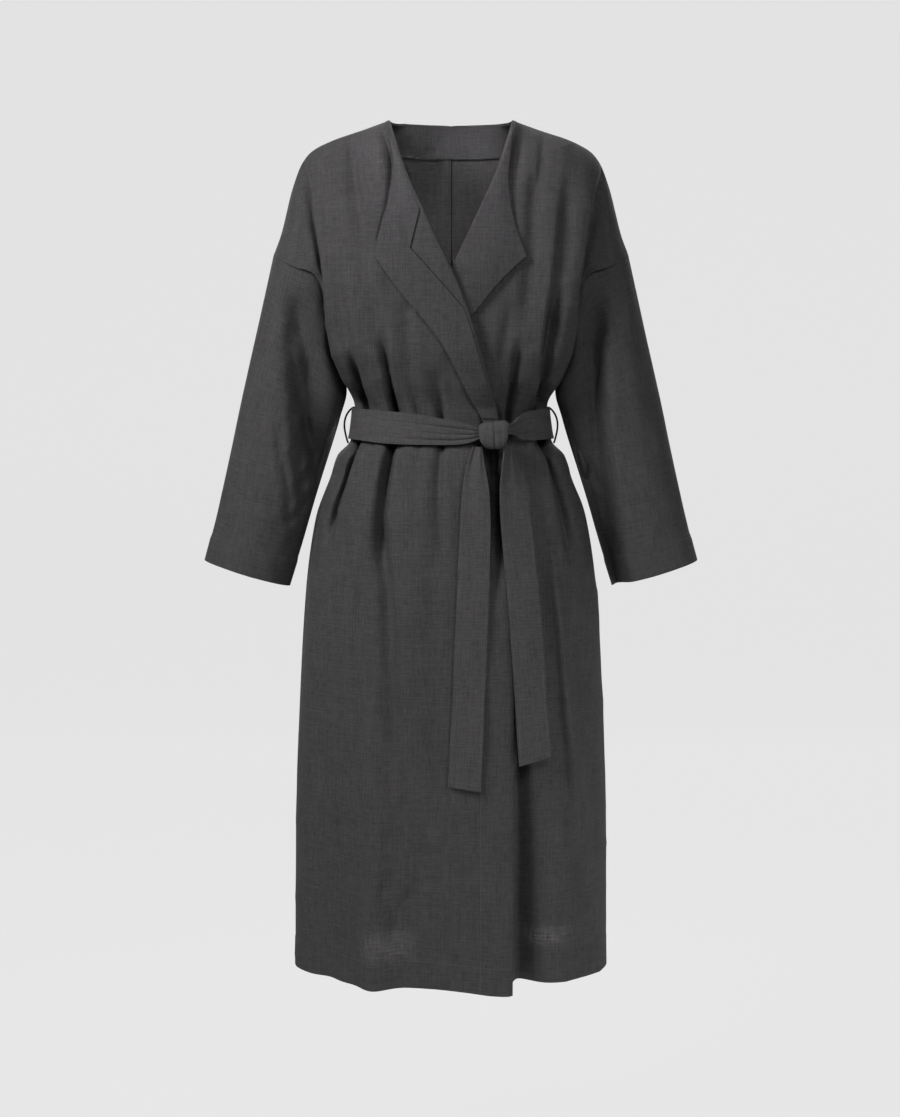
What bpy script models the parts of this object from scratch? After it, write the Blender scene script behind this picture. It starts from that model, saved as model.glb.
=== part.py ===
"""Long wrap jacket of linen, held in its worn shape and open at neck, cuffs and hem.

Metres, +Z up, front towards -Y, +X to the wearer's left. The origin lies midway between the two
neck points, on the shoulder line. Every panel is a thin wall on one shared form, which runs from the
shoulder seam (down = 0) to the hem and turns from the centre (turn = 0) to the side seam (turn = 90 degrees).
"""

import math

import bpy
import numpy as np

for item in list(bpy.data.objects):
    bpy.data.objects.remove(item, do_unlink=True)


def table(columns, *rows):
    """Name the columns of a short table of sizes."""
    values = np.array(rows, dtype=float)
    return {name: values[:, place] for place, name in enumerate(columns.split())}


# Cloth and making
CLOTH = 0.0016
FACING_CLOTH = 0.0012
BELT_CLOTH = 0.0024
SEAM_GAP = 0.0003
FACING_WIDTH = 0.043
FACING_SLACK = 0.0010
FACING_INSET = 0.06
FACING_SHORT = 0.030
NECK_FACING_SLACK = 0.0024
UNDERARM_STAND = 0.0024
ROLL_RADIUS = 0.0028

# Form of the body, a row for each section from the shoulder seam to the hem:
# heights at front edge, side or armhole seam and back edge, half width and depths there
SECTIONS = table(
    "down   front_z side_x side_z  arm   front front_square pinch neck_x back_z back  back_square",
    (0.000, 0.000, 0.2326, -0.175, 0.000, 0.000, 2.0, 0.000, 0.0805, 0.000, 0.000, 2.0),
    (0.055, -0.017, 0.2270, -0.179, 0.028, 0.052, 2.2, 0.000, 0.0785, 0.001, 0.036, 2.2),
    (0.115, -0.066, 0.2090, -0.189, 0.050, 0.088, 2.6, 0.000, 0.0600, 0.001, 0.066, 2.4),
    (0.185, -0.130, 0.1870, -0.205, 0.056, 0.115, 3.0, 0.004, 0.0000, -0.001, 0.077, 2.4),
    (0.260, -0.200, 0.1650, -0.240, 0.045, 0.129, 3.0, 0.014, 0.0000, -0.100, 0.104, 2.6),
    (0.345, -0.285, 0.1490, -0.298, 0.000, 0.131, 2.8, 0.022, 0.0000, -0.262, 0.112, 2.6),
    (0.390, -0.337, 0.1410, -0.337, 0.000, 0.120, 2.5, 0.012, 0.0000, -0.337, 0.103, 2.4),
    (0.426, -0.373, 0.1265, -0.373, 0.000, 0.108, 2.3, 0.000, 0.0000, -0.373, 0.093, 2.2),
    (0.471, -0.418, 0.1325, -0.418, 0.000, 0.109, 2.3, 0.000, 0.0000, -0.418, 0.096, 2.2),
    (0.490, -0.437, 0.1495, -0.437, 0.000, 0.117, 2.3, 0.000, 0.0000, -0.437, 0.105, 2.2),
    (0.520, -0.465, 0.1585, -0.465, 0.000, 0.124, 2.3, 0.000, 0.0000, -0.465, 0.114, 2.3),
    (0.577, -0.520, 0.1785, -0.520, 0.000, 0.134, 2.3, 0.000, 0.0000, -0.520, 0.124, 2.3),
    (0.668, -0.610, 0.1917, -0.610, 0.000, 0.142, 2.3, 0.000, 0.0000, -0.610, 0.130, 2.3),
    (0.808, -0.750, 0.2005, -0.750, 0.000, 0.147, 2.3, 0.000, 0.0000, -0.750, 0.131, 2.3),
    (1.008, -0.950, 0.2075, -0.950, 0.000, 0.151, 2.3, 0.000, 0.0000, -0.950, 0.132, 2.3),
    (1.174, -1.116, 0.2087, -1.116, 0.000, 0.152, 2.3, 0.000, 0.0000, -1.116, 0.132, 2.3),
)
UNDERARM_DOWN = 0.345
WAIST_DOWN = 0.450
UPPER_END = 0.500
HEM_DOWN = 1.174
BACK_NECK_DOWN = 0.185
PINCH_POWER = 16

# Line of the shoulder seam: share of the way out, share of the drop to the armhole
SHOULDER = table(
    "out drop",
    (0.000, 0.000), (0.217, 0.068), (0.497, 0.152), (0.670, 0.232), (0.750, 0.318),
    (0.830, 0.497), (0.936, 0.851), (1.000, 1.000),
)

# Front edge: where the roll line, and below the belt the edge itself, crosses each height
FRONT_EDGE = table(
    "z x",
    (-1.126, -0.0810), (-0.766, -0.0815), (-0.500, -0.0760), (-0.420, -0.0670), (-0.386, -0.0599),
    (-0.310, -0.0405), (-0.222, -0.0125), (-0.141, 0.0254), (-0.0676, 0.0587), (0.000, 0.0805),
)

# Lapels: outline of the free edge from the shoulder seam down, out from the centre on the own side.
# The lapel of the under front runs out below the place where the over front covers it.
LAPELS = {
    "right": table(
        "x z",
        (0.0860, -0.002), (0.0740, -0.045), (0.0715, -0.068), (0.0776, -0.108), (0.0874, -0.141),
        (0.0959, -0.180), (0.0655, -0.222), (0.0240, -0.272), (-0.0012, -0.310), (-0.0266, -0.361),
        (-0.0380, -0.386), (-0.0500, -0.418),
    ),
    "left": table(
        "x z",
        (0.0860, -0.002), (0.0750, -0.045), (0.0712, -0.082), (0.0735, -0.108), (0.0797, -0.134),
        (0.0958, -0.179), (0.0616, -0.211), (0.0240, -0.257), (0.0000, -0.283), (-0.0300, -0.318),
    ),
}
LAPEL_TIP = 5
LAPEL_END = {"right": 0.468, "left": 0.372}
LAPEL_EDGE_LIFT = 0.0042
LAPEL_SWELL = 0.0025
ROLL_AT_SHOULDER = 0.45
ROLL_OPENS = 0.080

# Inner line of the facing on the lapel: it leaves the roll, turns a corner and runs back to the roll
FACING_LINE = table("x z", (0.038, -0.120), (0.0505, -0.172), (-0.015, -0.244))

# Lower edge of the facing inside the back neck, from the centre back to the shoulder seam
NECK_FACING = table("x z", (0.000, -0.0430), (0.035, -0.0432), (0.069, -0.0420), (0.105, -0.0280), (0.126, -0.0130))

# Hang of the front corners at the hem
HEM_DROP = {"right": 0.012, "left": -0.006}
HEM_DROP_REACH = 0.110
HEM_DROP_START = 0.95

# Overlap of the two fronts: how far the over and the under front stand off the shared form
OVER_LIFT = 0.005
UNDER_LIFT = -0.007
LAP_ACROSS = (0.085, 0.130)
LAP_DOWN = (0.130, 0.210)
BELT_PRESS = 0.5
BELT_PRESS_SPAN = 0.060

# Gathers at the belt, a row for each fold: turn from the centre front towards the wearer's left at the
# belt and at the far end in degrees, heights of both ends, widths there and depth at the belt
FOLDS = table(
    "turn far_turn z    far_z  width far_width depth",
    (-58, -57, -0.380, -0.285, 0.010, 0.020, 0.010),
    (-31, -33, -0.380, -0.285, 0.009, 0.018, 0.009),
    (-5, -4, -0.380, -0.310, 0.010, 0.018, 0.004),
    (56, 60, -0.380, -0.180, 0.010, 0.018, 0.011),
    (34, 36, -0.380, -0.310, 0.010, 0.018, 0.004),
    (-122, -120, -0.380, -0.285, 0.010, 0.020, 0.009),
    (-152, -154, -0.380, -0.270, 0.010, 0.020, 0.008),
    (122, 120, -0.380, -0.285, 0.010, 0.020, 0.009),
    (152, 154, -0.380, -0.270, 0.010, 0.020, 0.008),
    (-68, -71, -0.415, -0.560, 0.010, 0.024, 0.012),
    (-28, -18, -0.415, -0.900, 0.009, 0.034, 0.011),
    (-5, -5, -0.415, -0.520, 0.010, 0.018, 0.004),
    (63, 62, -0.415, -0.600, 0.010, 0.026, 0.012),
    (38, 40, -0.415, -0.520, 0.010, 0.020, 0.005),
    (-118, -116, -0.415, -0.600, 0.010, 0.026, 0.011),
    (-150, -156, -0.415, -0.800, 0.010, 0.034, 0.010),
    (118, 116, -0.415, -0.600, 0.010, 0.026, 0.011),
    (150, 156, -0.415, -0.800, 0.010, 0.034, 0.010),
    (-12, -12, -1.116, -0.760, 0.024, 0.030, 0.007),
    (-25, -24, -1.116, -0.760, 0.028, 0.030, -0.008),
    (37, 37, -1.116, -0.800, 0.030, 0.030, -0.006),
)
FOLD_RIDGE = 0.30
FOLD_RIDGE_START = 4.0
FOLD_RIDGE_PLACE = 2.2
FOLD_END = 6.0

# Fold between chest and arm, a row for each station: place out from the centre, width and depth
ARM_FOLD = table(
    "down across width depth",
    (0.040, 0.199, 0.010, 0.000), (0.075, 0.196, 0.010, 0.004), (0.120, 0.1915, 0.010, 0.008),
    (0.185, 0.1835, 0.009, 0.011), (0.240, 0.1760, 0.009, 0.009), (0.300, 0.1640, 0.010, 0.000),
)

# Sleeve, a row for each ring from the armhole to the cuff: ends of the ring, half depth, middle
SLEEVE = table(
    "along outer_x outer_z inner_x inner_z half_depth mid_y",
    (0.00, 0.2326, -0.175, 0.1490, -0.298, 0.058, 0.000),
    (0.12, 0.2435, -0.223, 0.1530, -0.324, 0.062, 0.000),
    (0.24, 0.2545, -0.271, 0.1415, -0.350, 0.064, 0.000),
    (0.45, 0.2735, -0.354, 0.1475, -0.388, 0.063, -0.003),
    (0.73, 0.2973, -0.464, 0.1775, -0.493, 0.058, -0.008),
    (0.87, 0.3108, -0.523, 0.1950, -0.553, 0.052, -0.012),
    (1.00, 0.3243, -0.5745, 0.2120, -0.608, 0.045, -0.016),
)
SLEEVE_FADE = 0.30
UNDERARM_POWER = 4

# Belt: one strap, tied in front to the wearer's left of the centre
BELT_MIDDLE_Z = -0.3945
BELT_WIDTH = 0.042
BELT_LIFT = 0.0036
BELT_FRONT_LIFT = 0.0066
BELT_LAPEL_LIFT = 0.0112
BELT_ON_OVER_FRONT = {"from": (-90.0, -60.0), "to": (35.0, 50.0)}
BELT_ON_LAPEL = {"turn": 20.0, "spread": 16.0, "power": 4}
KNOT_TURN = 24.0
KNOT_X = 0.054
KNOT_Z = -0.405
KNOT_SIZE = (0.037, 0.025, 0.036)
KNOT_ROUNDING = 0.7
KNOT_STAND = 0.004
BELT_AT_KNOT = 0.026
KNOT_SPREAD = 22.0

# Belt tails, a row for each height: middle and width
TAIL_RIGHT = table(
    "z x width",
    (-0.855, 0.0170, 0.042), (-0.660, 0.0255, 0.041), (-0.520, 0.0300, 0.038), (-0.475, 0.0320, 0.034),
    (-0.445, 0.0370, 0.022), (-0.4245, 0.0420, 0.017),
)
TAIL_LEFT = table(
    "z x width",
    (-0.822, 0.1075, 0.041), (-0.660, 0.0960, 0.041), (-0.520, 0.0830, 0.038), (-0.475, 0.0770, 0.030),
    (-0.445, 0.0710, 0.020), (-0.4245, 0.0670, 0.016),
)
TAIL_LIFT = 0.0125

# Thread loops at the side seams
LOOP_RADIUS = 0.0010
LOOP_STAND = 0.0085
LOOP_FOOT_GAP = 0.0016
LOOP_TOP_Z = -0.368
LOOP_FOOT_Z = -0.428
LOOP_BOW = 0.8

# Mesh steps
UPPER_ROWS = (0.0, 0.018, 0.040, 0.068, 0.095, 0.120, 0.140, 0.160, 0.175, 0.185, 0.210, 0.235,
              0.260, 0.290, 0.319, 0.345)
LOWER_ROWS = (0.372, 0.398, 0.413, 0.426, 0.448, 0.469, 0.484, 0.505, 0.532, 0.570, 0.625,
              0.700, 0.790, 0.890, 1.000, 1.100, 1.174)
FRONT_TURNS = (-16, -5, 5, 14, 22, 28, 33, 40, 48, 54, 59, 64, 69, 75, 82, 90)
BACK_TURNS = (10, 19, 24, 29, 34, 42, 50, 56, 61, 66, 73, 82, 90)
EDGE_TURN = -26.0
LAPEL_SHARES = (1.0, 0.75, 0.5, 0.22)
ARC_ANGLES = (180, 120, 60)
SLEEVE_RINGS = (0.0, 0.06, 0.13, 0.21, 0.32, 0.46, 0.62, 0.80, 1.0)
FACING_SHARES = (1.0, 0.75, 0.5, 0.25, 0.0)
NECK_FACING_SHARES = (0.02, 0.35, 0.67, 1.0)
BELT_STEPS = 48
STRAP_SHARES = (-0.5, -0.17, 0.17, 0.5)
TAIL_STEPS = 13
KNOT_STEPS = (16, 8)
LOOP_STEPS = 11
STATION_STEPS = 1001

LINEN = (0.078, 0.074, 0.077, 1.0)
INNER_LINEN = (0.070, 0.067, 0.070, 1.0)
THREAD = (0.030, 0.029, 0.030, 1.0)
LINEN_ROUGHNESS = 0.90

SIDES = {"right": -1.0, "left": 1.0}
RIGHT_ANGLE = math.pi / 2
STEP = 1e-4


def ease(share):
    """Soft step from 0 to 1."""
    share = np.clip(share, 0.0, 1.0)
    return share * share * (3.0 - 2.0 * share)


def ramp(value, start, end):
    """Soft step from 0 at the start to 1 at the end."""
    return ease((value - start) / (end - start))


def smooth_curve(places, values, flat_start=False):
    """Return a function that runs smoothly through the values without overshoot."""
    step = np.diff(places)
    rise = np.diff(values) / step
    slope = np.zeros(len(values))
    same_way = rise[:-1] * rise[1:] > 0
    near = 2.0 * step[1:] + step[:-1]
    far = step[1:] + 2.0 * step[:-1]
    safe = np.where(same_way, rise[:-1], 1.0), np.where(same_way, rise[1:], 1.0)
    slope[1:-1] = np.where(same_way, (near + far) / (near / safe[0] + far / safe[1]), 0.0)
    slope[0] = 0.0 if flat_start else rise[0]
    slope[-1] = rise[-1]

    def curve(place):
        place = np.clip(place, places[0], places[-1])
        left = np.clip(np.searchsorted(places, place, side="right") - 1, 0, len(step) - 1)
        share = (place - places[left]) / step[left]
        rest = 1.0 - share
        return (values[left] * (1 + 2 * share) * rest ** 2 + values[left + 1] * (3 - 2 * share) * share ** 2
                + step[left] * share * rest * (slope[left] * rest - slope[left + 1] * share))

    return curve


STEADY = ("arm", "front", "back")
FORM = {name: smooth_curve(SECTIONS["down"], SECTIONS[name], flat_start=name not in STEADY)
        for name in SECTIONS if name != "down"}
SHOULDER_DROP = smooth_curve(SHOULDER["out"], SHOULDER["drop"])
EDGE_X = smooth_curve(FRONT_EDGE["z"], FRONT_EDGE["x"])
NECK_FACING_LOW = smooth_curve(NECK_FACING["x"], NECK_FACING["z"])
ARM_FOLD_FORM = {name: smooth_curve(ARM_FOLD["down"], ARM_FOLD[name]) for name in ARM_FOLD if name != "down"}
SLEEVE_FORM = {name: smooth_curve(SLEEVE["along"], SLEEVE[name]) for name in SLEEVE if name != "along"}


def inner_edge(face, down):
    """Place of the panel's inner edge: the roll line in front, the neck edge or centre back behind."""
    if face == "front":
        height = FORM["front_z"](down)
        return EDGE_X(height), height
    return FORM["neck_x"](down), FORM["back_z"](down)


def turn_at(face, down, across):
    """Turn at which the form lies this far across from the centre."""
    reach = FORM["side_x"](down) + FORM["pinch"](down)
    share = np.clip(np.abs(across) / reach, 0.0, 1.0)
    return np.sign(across) * np.arcsin(share ** (FORM[face + "_square"](down) / 2.0))


def down_at(height):
    """Station below the underarm that lies at this height."""
    return np.interp(-height, -SECTIONS["side_z"], SECTIONS["down"])


def form_point(face, down, turn):
    """Point of the shared form, with x measured out towards the panel's own side."""
    down, turn = np.broadcast_arrays(np.asarray(down, float), np.asarray(turn, float))
    power = 2.0 / FORM[face + "_square"](down)
    sine = np.abs(np.sin(turn))
    cosine = np.abs(np.cos(turn))
    side_x, pinch, arm = FORM["side_x"](down), FORM["pinch"](down), FORM["arm"](down)
    across = np.sign(turn) * (side_x + pinch) * sine ** power - pinch * sine ** PINCH_POWER
    depth = arm + (FORM[face](down) - arm) * cosine ** power
    edge_x, edge_z = inner_edge(face, down)
    share = np.clip((across - edge_x) / (side_x - edge_x), 0.0, 1.0)
    level = ease(down / UNDERARM_DOWN)
    bend = (1.0 - level) * SHOULDER_DROP(share) + level * share
    height = edge_z + (FORM["side_z"](down) - edge_z) * bend
    return np.stack([across, -depth if face == "front" else depth, height], axis=-1)


def form_normal(face, down, turn):
    """Outward direction of the shared form."""
    along = form_point(face, down + STEP, turn) - form_point(face, np.maximum(down - STEP, 0.0), turn)
    around = (form_point(face, down, np.minimum(turn + STEP, RIGHT_ANGLE))
              - form_point(face, down, turn - STEP))
    outward = np.cross(along, around) if face == "front" else np.cross(around, along)
    return outward / np.linalg.norm(outward, axis=-1, keepdims=True)


def fold_depth(face, side, down, turn, height):
    """Height of the gathers above the plain form, negative in a trough."""
    reach = 0.5 * (FORM["side_x"](down) + FORM[face](down))
    degrees = np.degrees(turn)
    around = SIDES[side] * (degrees if face == "front" else 180.0 - degrees)
    total = np.zeros_like(height)
    for row in range(len(FOLDS["turn"])):
        fold = {name: FOLDS[name][row] for name in FOLDS}
        share = (height - fold["z"]) / (fold["far_z"] - fold["z"])
        place = fold["turn"] + (fold["far_turn"] - fold["turn"]) * np.clip(share, 0.0, 1.0)
        width = fold["width"] + (fold["far_width"] - fold["width"]) * np.clip(share, 0.0, 1.0)
        offset = np.radians(around - place) * reach / width
        length = np.where(share < 0.0, ease(1.0 + FOLD_END * share), 1.0 - ease(share))
        ridge = FOLD_RIDGE * ease(FOLD_RIDGE_START * share)
        shape = ridge * np.exp(-(np.abs(offset) - FOLD_RIDGE_PLACE) ** 2) - np.exp(-offset ** 2)
        total += fold["depth"] * length * shape
    return total


def arm_fold_depth(down, across):
    """Depth of the fold that runs down between chest and arm."""
    offset = (across - ARM_FOLD_FORM["across"](down)) / ARM_FOLD_FORM["width"](down)
    return -ARM_FOLD_FORM["depth"](down) * np.exp(-offset ** 2)


def lap_lift(side, down, across):
    """How far a front stands off the shared form where the two fronts overlap."""
    near = 1.0 - ramp(across, *LAP_ACROSS)
    below = ramp(down, *LAP_DOWN)
    press = 1.0 - BELT_PRESS * np.exp(-((down - WAIST_DOWN) / BELT_PRESS_SPAN) ** 2)
    return (OVER_LIFT if side == "right" else UNDER_LIFT) * near * below * press


def hem_drop(side, down, across):
    """How much lower a front hangs towards its free edge."""
    low = ramp(down, HEM_DROP_START, HEM_DOWN)
    near = 1.0 - ease((across - inner_edge("front", down)[0]) / HEM_DROP_REACH)
    return HEM_DROP[side] * low * near


def cloth_point(face, side, down, turn, lift=0.0):
    """Point of a panel in the world, lifted outwards from the middle of its cloth."""
    down, turn = np.broadcast_arrays(np.asarray(down, float), np.asarray(turn, float))
    point = form_point(face, down, turn)
    height = lift + fold_depth(face, side, down, turn, point[..., 2])
    if face == "front":
        height = height + lap_lift(side, down, point[..., 0]) + arm_fold_depth(down, point[..., 0])
    point = point + form_normal(face, down, turn) * height[..., None]
    if face == "front":
        point[..., 2] -= hem_drop(side, down, point[..., 0])
    return point * np.array([SIDES[side], 1.0, 1.0])


def station_of(face, across, height):
    """Station down a panel at which the form passes through this place, seen from the front."""
    downs = np.linspace(0.0, UPPER_END, STATION_STEPS)
    heights = form_point(face, downs, turn_at(face, downs, across))[:, 2]
    return np.interp(-height, -heights, downs)


def outline_across(outline, corners=()):
    """Return how far across an outline lies at each station, straight between the given corners."""
    downs = np.array([station_of("front", x, z) for x, z in zip(outline["x"], outline["z"])])
    ends = [0, *corners, len(downs) - 1]
    curves = [smooth_curve(downs[a:b + 1], outline["x"][a:b + 1]) for a, b in zip(ends, ends[1:])]
    breaks = downs[list(corners)]

    def across(down):
        piece = np.searchsorted(breaks, down, side="right")
        return np.choose(piece, [curve(down) for curve in curves])

    return across


LAPEL_EDGE = {side: outline_across(LAPELS[side], (LAPEL_TIP,)) for side in SIDES}
FACING_DOWNS = [station_of("front", x, z) for x, z in zip(FACING_LINE["x"], FACING_LINE["z"])]


def roll_radius(down):
    """Radius of the soft fold at the roll line, small at the shoulder seam."""
    return ROLL_RADIUS * (ROLL_AT_SHOULDER + (1.0 - ROLL_AT_SHOULDER) * ease(down / ROLL_OPENS))


def lapel_point(side, down, share, lift=0.0):
    """Point of the turned-out lapel, from just past the roll (share 0) to its edge (share 1)."""
    radius = roll_radius(down)
    start = inner_edge("front", down)[0] + radius
    width = LAPEL_EDGE[side](down) - start
    swell = LAPEL_SWELL * np.sin(np.pi * share) * np.clip(width / FACING_WIDTH, 0.0, 1.0)
    rest = 2.0 * radius + (LAPEL_EDGE_LIFT - 2.0 * ROLL_RADIUS) * share * radius / ROLL_RADIUS + swell
    return cloth_point("front", side, down, turn_at("front", down, start + width * share), rest + lift)


def roll_point(side, down, angle):
    """Point of the soft fold between lapel and front."""
    radius = roll_radius(down)
    out = inner_edge("front", down)[0] + radius * (1.0 - math.sin(angle))
    return cloth_point("front", side, down, turn_at("front", down, out), radius * (1.0 - math.cos(angle)))


def grid_faces(first, rows, columns):
    """Quads of a grid whose points start at this index."""
    corner = first + np.arange(rows - 1)[:, None] * columns + np.arange(columns - 1)
    corner = corner.ravel()
    return np.stack([corner, corner + columns, corner + columns + 1, corner + 1], axis=-1)


def point_normals(points, faces):
    """Area-weighted outward directions at the points of a sheet."""
    across = points[faces[:, 2]] - points[faces[:, 0]]
    along = points[faces[:, 3]] - points[faces[:, 1]]
    face_normals = np.cross(across, along)
    normals = np.zeros_like(points)
    for corner in range(4):
        np.add.at(normals, faces[:, corner], face_normals)
    return normals / np.linalg.norm(normals, axis=1, keepdims=True)


def flatten(normals, chosen, axis):
    """Turn the directions at a seam square to the seam's plane."""
    normals[chosen, axis] = 0.0
    normals[chosen] /= np.linalg.norm(normals[chosen], axis=1, keepdims=True)


class Sheet:
    """Middle surface of one piece of cloth: points, quads that face outwards, directions at the points."""

    def __init__(self, points, faces, mirrored=False):
        self.points = points
        self.faces = faces[:, ::-1] if mirrored else faces
        self.normals = point_normals(self.points, self.faces)


def make_material(name, colour):
    """Matt cloth of one colour."""
    material = bpy.data.materials.new(name)
    material.use_nodes = True
    shader = material.node_tree.nodes["Principled BSDF"]
    shader.inputs["Base Color"].default_value = colour
    shader.inputs["Roughness"].default_value = LINEN_ROUGHNESS
    shader.inputs["Metallic"].default_value = 0.0
    return material


def add_object(name, points, faces, colour):
    """Add a mesh object with a material of its own."""
    mesh = bpy.data.meshes.new(name)
    mesh.from_pydata([tuple(point) for point in points], [], [tuple(int(i) for i in face) for face in faces])
    mesh.materials.append(make_material(name + "_cloth", colour))
    mesh.update()
    made = bpy.data.objects.new(name, mesh)
    bpy.context.scene.collection.objects.link(made)
    return made


def add_wall(name, sheet, thickness, colour):
    """Thicken a sheet evenly to both sides and close its rim."""
    count = len(sheet.points)
    outer = sheet.points + sheet.normals * thickness / 2
    inner = sheet.points - sheet.normals * thickness / 2
    edges = {}
    for face in sheet.faces:
        for start, end in zip(face, np.roll(face, -1)):
            edges[(start, end)] = True
    rim = [(end, start, start + count, end + count) for start, end in edges if (end, start) not in edges]
    faces = [*sheet.faces, *(sheet.faces[:, ::-1] + count), *rim]
    return add_object(name, np.concatenate([outer, inner]), faces, colour)


ROWS = np.array(UPPER_ROWS + LOWER_ROWS)
ARMHOLE_ROWS = len(UPPER_ROWS)


def panel_grid(face, side):
    """Points of a panel, a row for each station down, from its inner edge to the side seam."""
    edge_x, _ = inner_edge(face, ROWS)
    start = edge_x + roll_radius(ROWS) if face == "front" else edge_x
    first = turn_at(face, ROWS, start)
    wanted = np.radians(np.array((EDGE_TURN,) + FRONT_TURNS if face == "front" else (0.0,) + BACK_TURNS))
    shares = (wanted - wanted[0]) / (RIGHT_ANGLE - wanted[0])
    turns = first[:, None] + (RIGHT_ANGLE - first[:, None]) * shares
    points = cloth_point(face, side, ROWS[:, None], turns)
    outwards = -1.0 if face == "front" else 1.0
    points[0, :, 1] = outwards * SEAM_GAP / 2
    below = slice(ARMHOLE_ROWS - 1, None)
    points[below, -1, 1] = outwards * SEAM_GAP / 2
    return points


def front_sheet(side):
    """Front panel with its cut-on lapel."""
    body = panel_grid("front", side)
    rows, columns = body.shape[:2]
    lapel_rows = int(np.searchsorted(ROWS, LAPEL_END[side], side="right"))
    downs = ROWS[:lapel_rows]
    flap = [lapel_point(side, downs, share) for share in LAPEL_SHARES]
    flap += [roll_point(side, downs, math.radians(angle)) for angle in ARC_ANGLES]
    flap = np.stack(flap, axis=1)
    flap[0, :, 1] = -SEAM_GAP / 2
    width = flap.shape[1]
    flap_first = rows * columns
    joint = flap_first + np.arange(lapel_rows - 1) * width + width - 1
    beside = np.arange(lapel_rows - 1) * columns
    join_faces = np.stack([joint, joint + width, beside + columns, beside], axis=-1)
    faces = np.concatenate([grid_faces(0, rows, columns), join_faces, grid_faces(flap_first, lapel_rows, width)])
    points = np.concatenate([body.reshape(-1, 3), flap.reshape(-1, 3)])
    sheet = Sheet(points, faces, mirrored=side == "right")
    ridge = np.concatenate([np.arange(columns), flap_first + np.arange(width)])
    flatten(sheet.normals, ridge, 1)
    flatten(sheet.normals, np.arange(ARMHOLE_ROWS - 1, rows) * columns + columns - 1, 1)
    sheet.armhole = np.arange(ARMHOLE_ROWS) * columns + columns - 1
    return sheet


def back_sheet(side):
    """Back panel, from the neck edge and the centre back seam to the side."""
    body = panel_grid("back", side)
    rows, columns = body.shape[:2]
    centre_rows = np.flatnonzero(ROWS >= BACK_NECK_DOWN)
    body[centre_rows, 0, 0] = SIDES[side] * SEAM_GAP / 2
    sheet = Sheet(body.reshape(-1, 3), grid_faces(0, rows, columns), mirrored=side == "left")
    flatten(sheet.normals, np.arange(columns), 1)
    flatten(sheet.normals, np.arange(ARMHOLE_ROWS - 1, rows) * columns + columns - 1, 1)
    flatten(sheet.normals, centre_rows * columns, 0)
    sheet.armhole = np.arange(ARMHOLE_ROWS) * columns + columns - 1
    return sheet


def sleeve_sheet(side, front, back):
    """Sleeve tube from the armhole seam of its two panels to the cuff."""
    front_hole = front.points[front.armhole]
    back_hole = back.points[back.armhole]
    ring = np.concatenate([front_hole, back_hole[-2:0:-1]])
    ring[[0, len(front_hole) - 1], 1] = 0.0
    angles = np.concatenate([hole_angles(front_hole), 2 * np.pi - hole_angles(back_hole)[-2:0:-1]])
    mirror = np.array([SIDES[side], 1.0, 1.0])
    start = sleeve_ring(0.0, angles) * mirror
    axis = (sleeve_ring(1.0, angles) - sleeve_ring(0.0, angles)).mean(axis=0) * mirror
    axis /= np.linalg.norm(axis)
    underarm = np.clip(-np.cos(angles), 0.0, 1.0)[:, None] ** UNDERARM_POWER
    gap = axis * SEAM_GAP + mirror * (UNDERARM_STAND, 0.0, 0.0) * underarm
    rings = []
    for along in SLEEVE_RINGS:
        fade = 1.0 - ease(along / SLEEVE_FADE)
        rings.append(sleeve_ring(along, angles) * mirror + (ring - start) * fade + gap)
    points = np.stack(rings)
    count = len(ring)
    faces = []
    for row in range(len(rings) - 1):
        here = row * count + np.arange(count)
        beside = row * count + (np.arange(count) + 1) % count
        faces.append(np.stack([here, beside, beside + count, here + count], axis=-1))
    sheet = Sheet(points.reshape(-1, 3), np.concatenate(faces), mirrored=side == "right")
    share_seam(sheet, front, back, len(front_hole))
    return sheet


def hole_angles(hole):
    """Angles round the sleeve of the points along one half of the armhole."""
    lengths = np.concatenate([[0.0], np.cumsum(np.linalg.norm(np.diff(hole, axis=0), axis=1))])
    return np.pi * lengths / lengths[-1]


def sleeve_ring(along, angles):
    """Ring of the sleeve: an oval between its outer and inner line."""
    size = {name: SLEEVE_FORM[name](along) for name in SLEEVE_FORM}
    outer = np.array([size["outer_x"], size["mid_y"], size["outer_z"]])
    inner = np.array([size["inner_x"], size["mid_y"], size["inner_z"]])
    middle = (outer + inner) / 2
    forward = np.array([0.0, -size["half_depth"], 0.0])
    return middle + np.cos(angles)[:, None] * (outer - middle) + np.sin(angles)[:, None] * forward


def share_seam(sleeve, front, back, front_count):
    """Give sleeve and panels the same directions along the armhole seam."""
    count = front_count + len(back.armhole) - 2
    pairs = [(place, front, front.armhole[place]) for place in range(front_count)]
    pairs += [(place, back, back.armhole[(count - place)]) for place in range(front_count, count)]
    pairs += [(0, back, back.armhole[0]), (front_count - 1, back, back.armhole[-1])]
    for place, panel, point in pairs:
        shared = sleeve.normals[place] + panel.normals[point]
        shared /= np.linalg.norm(shared)
        sleeve.normals[place] = shared
        panel.normals[point] = shared


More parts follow.
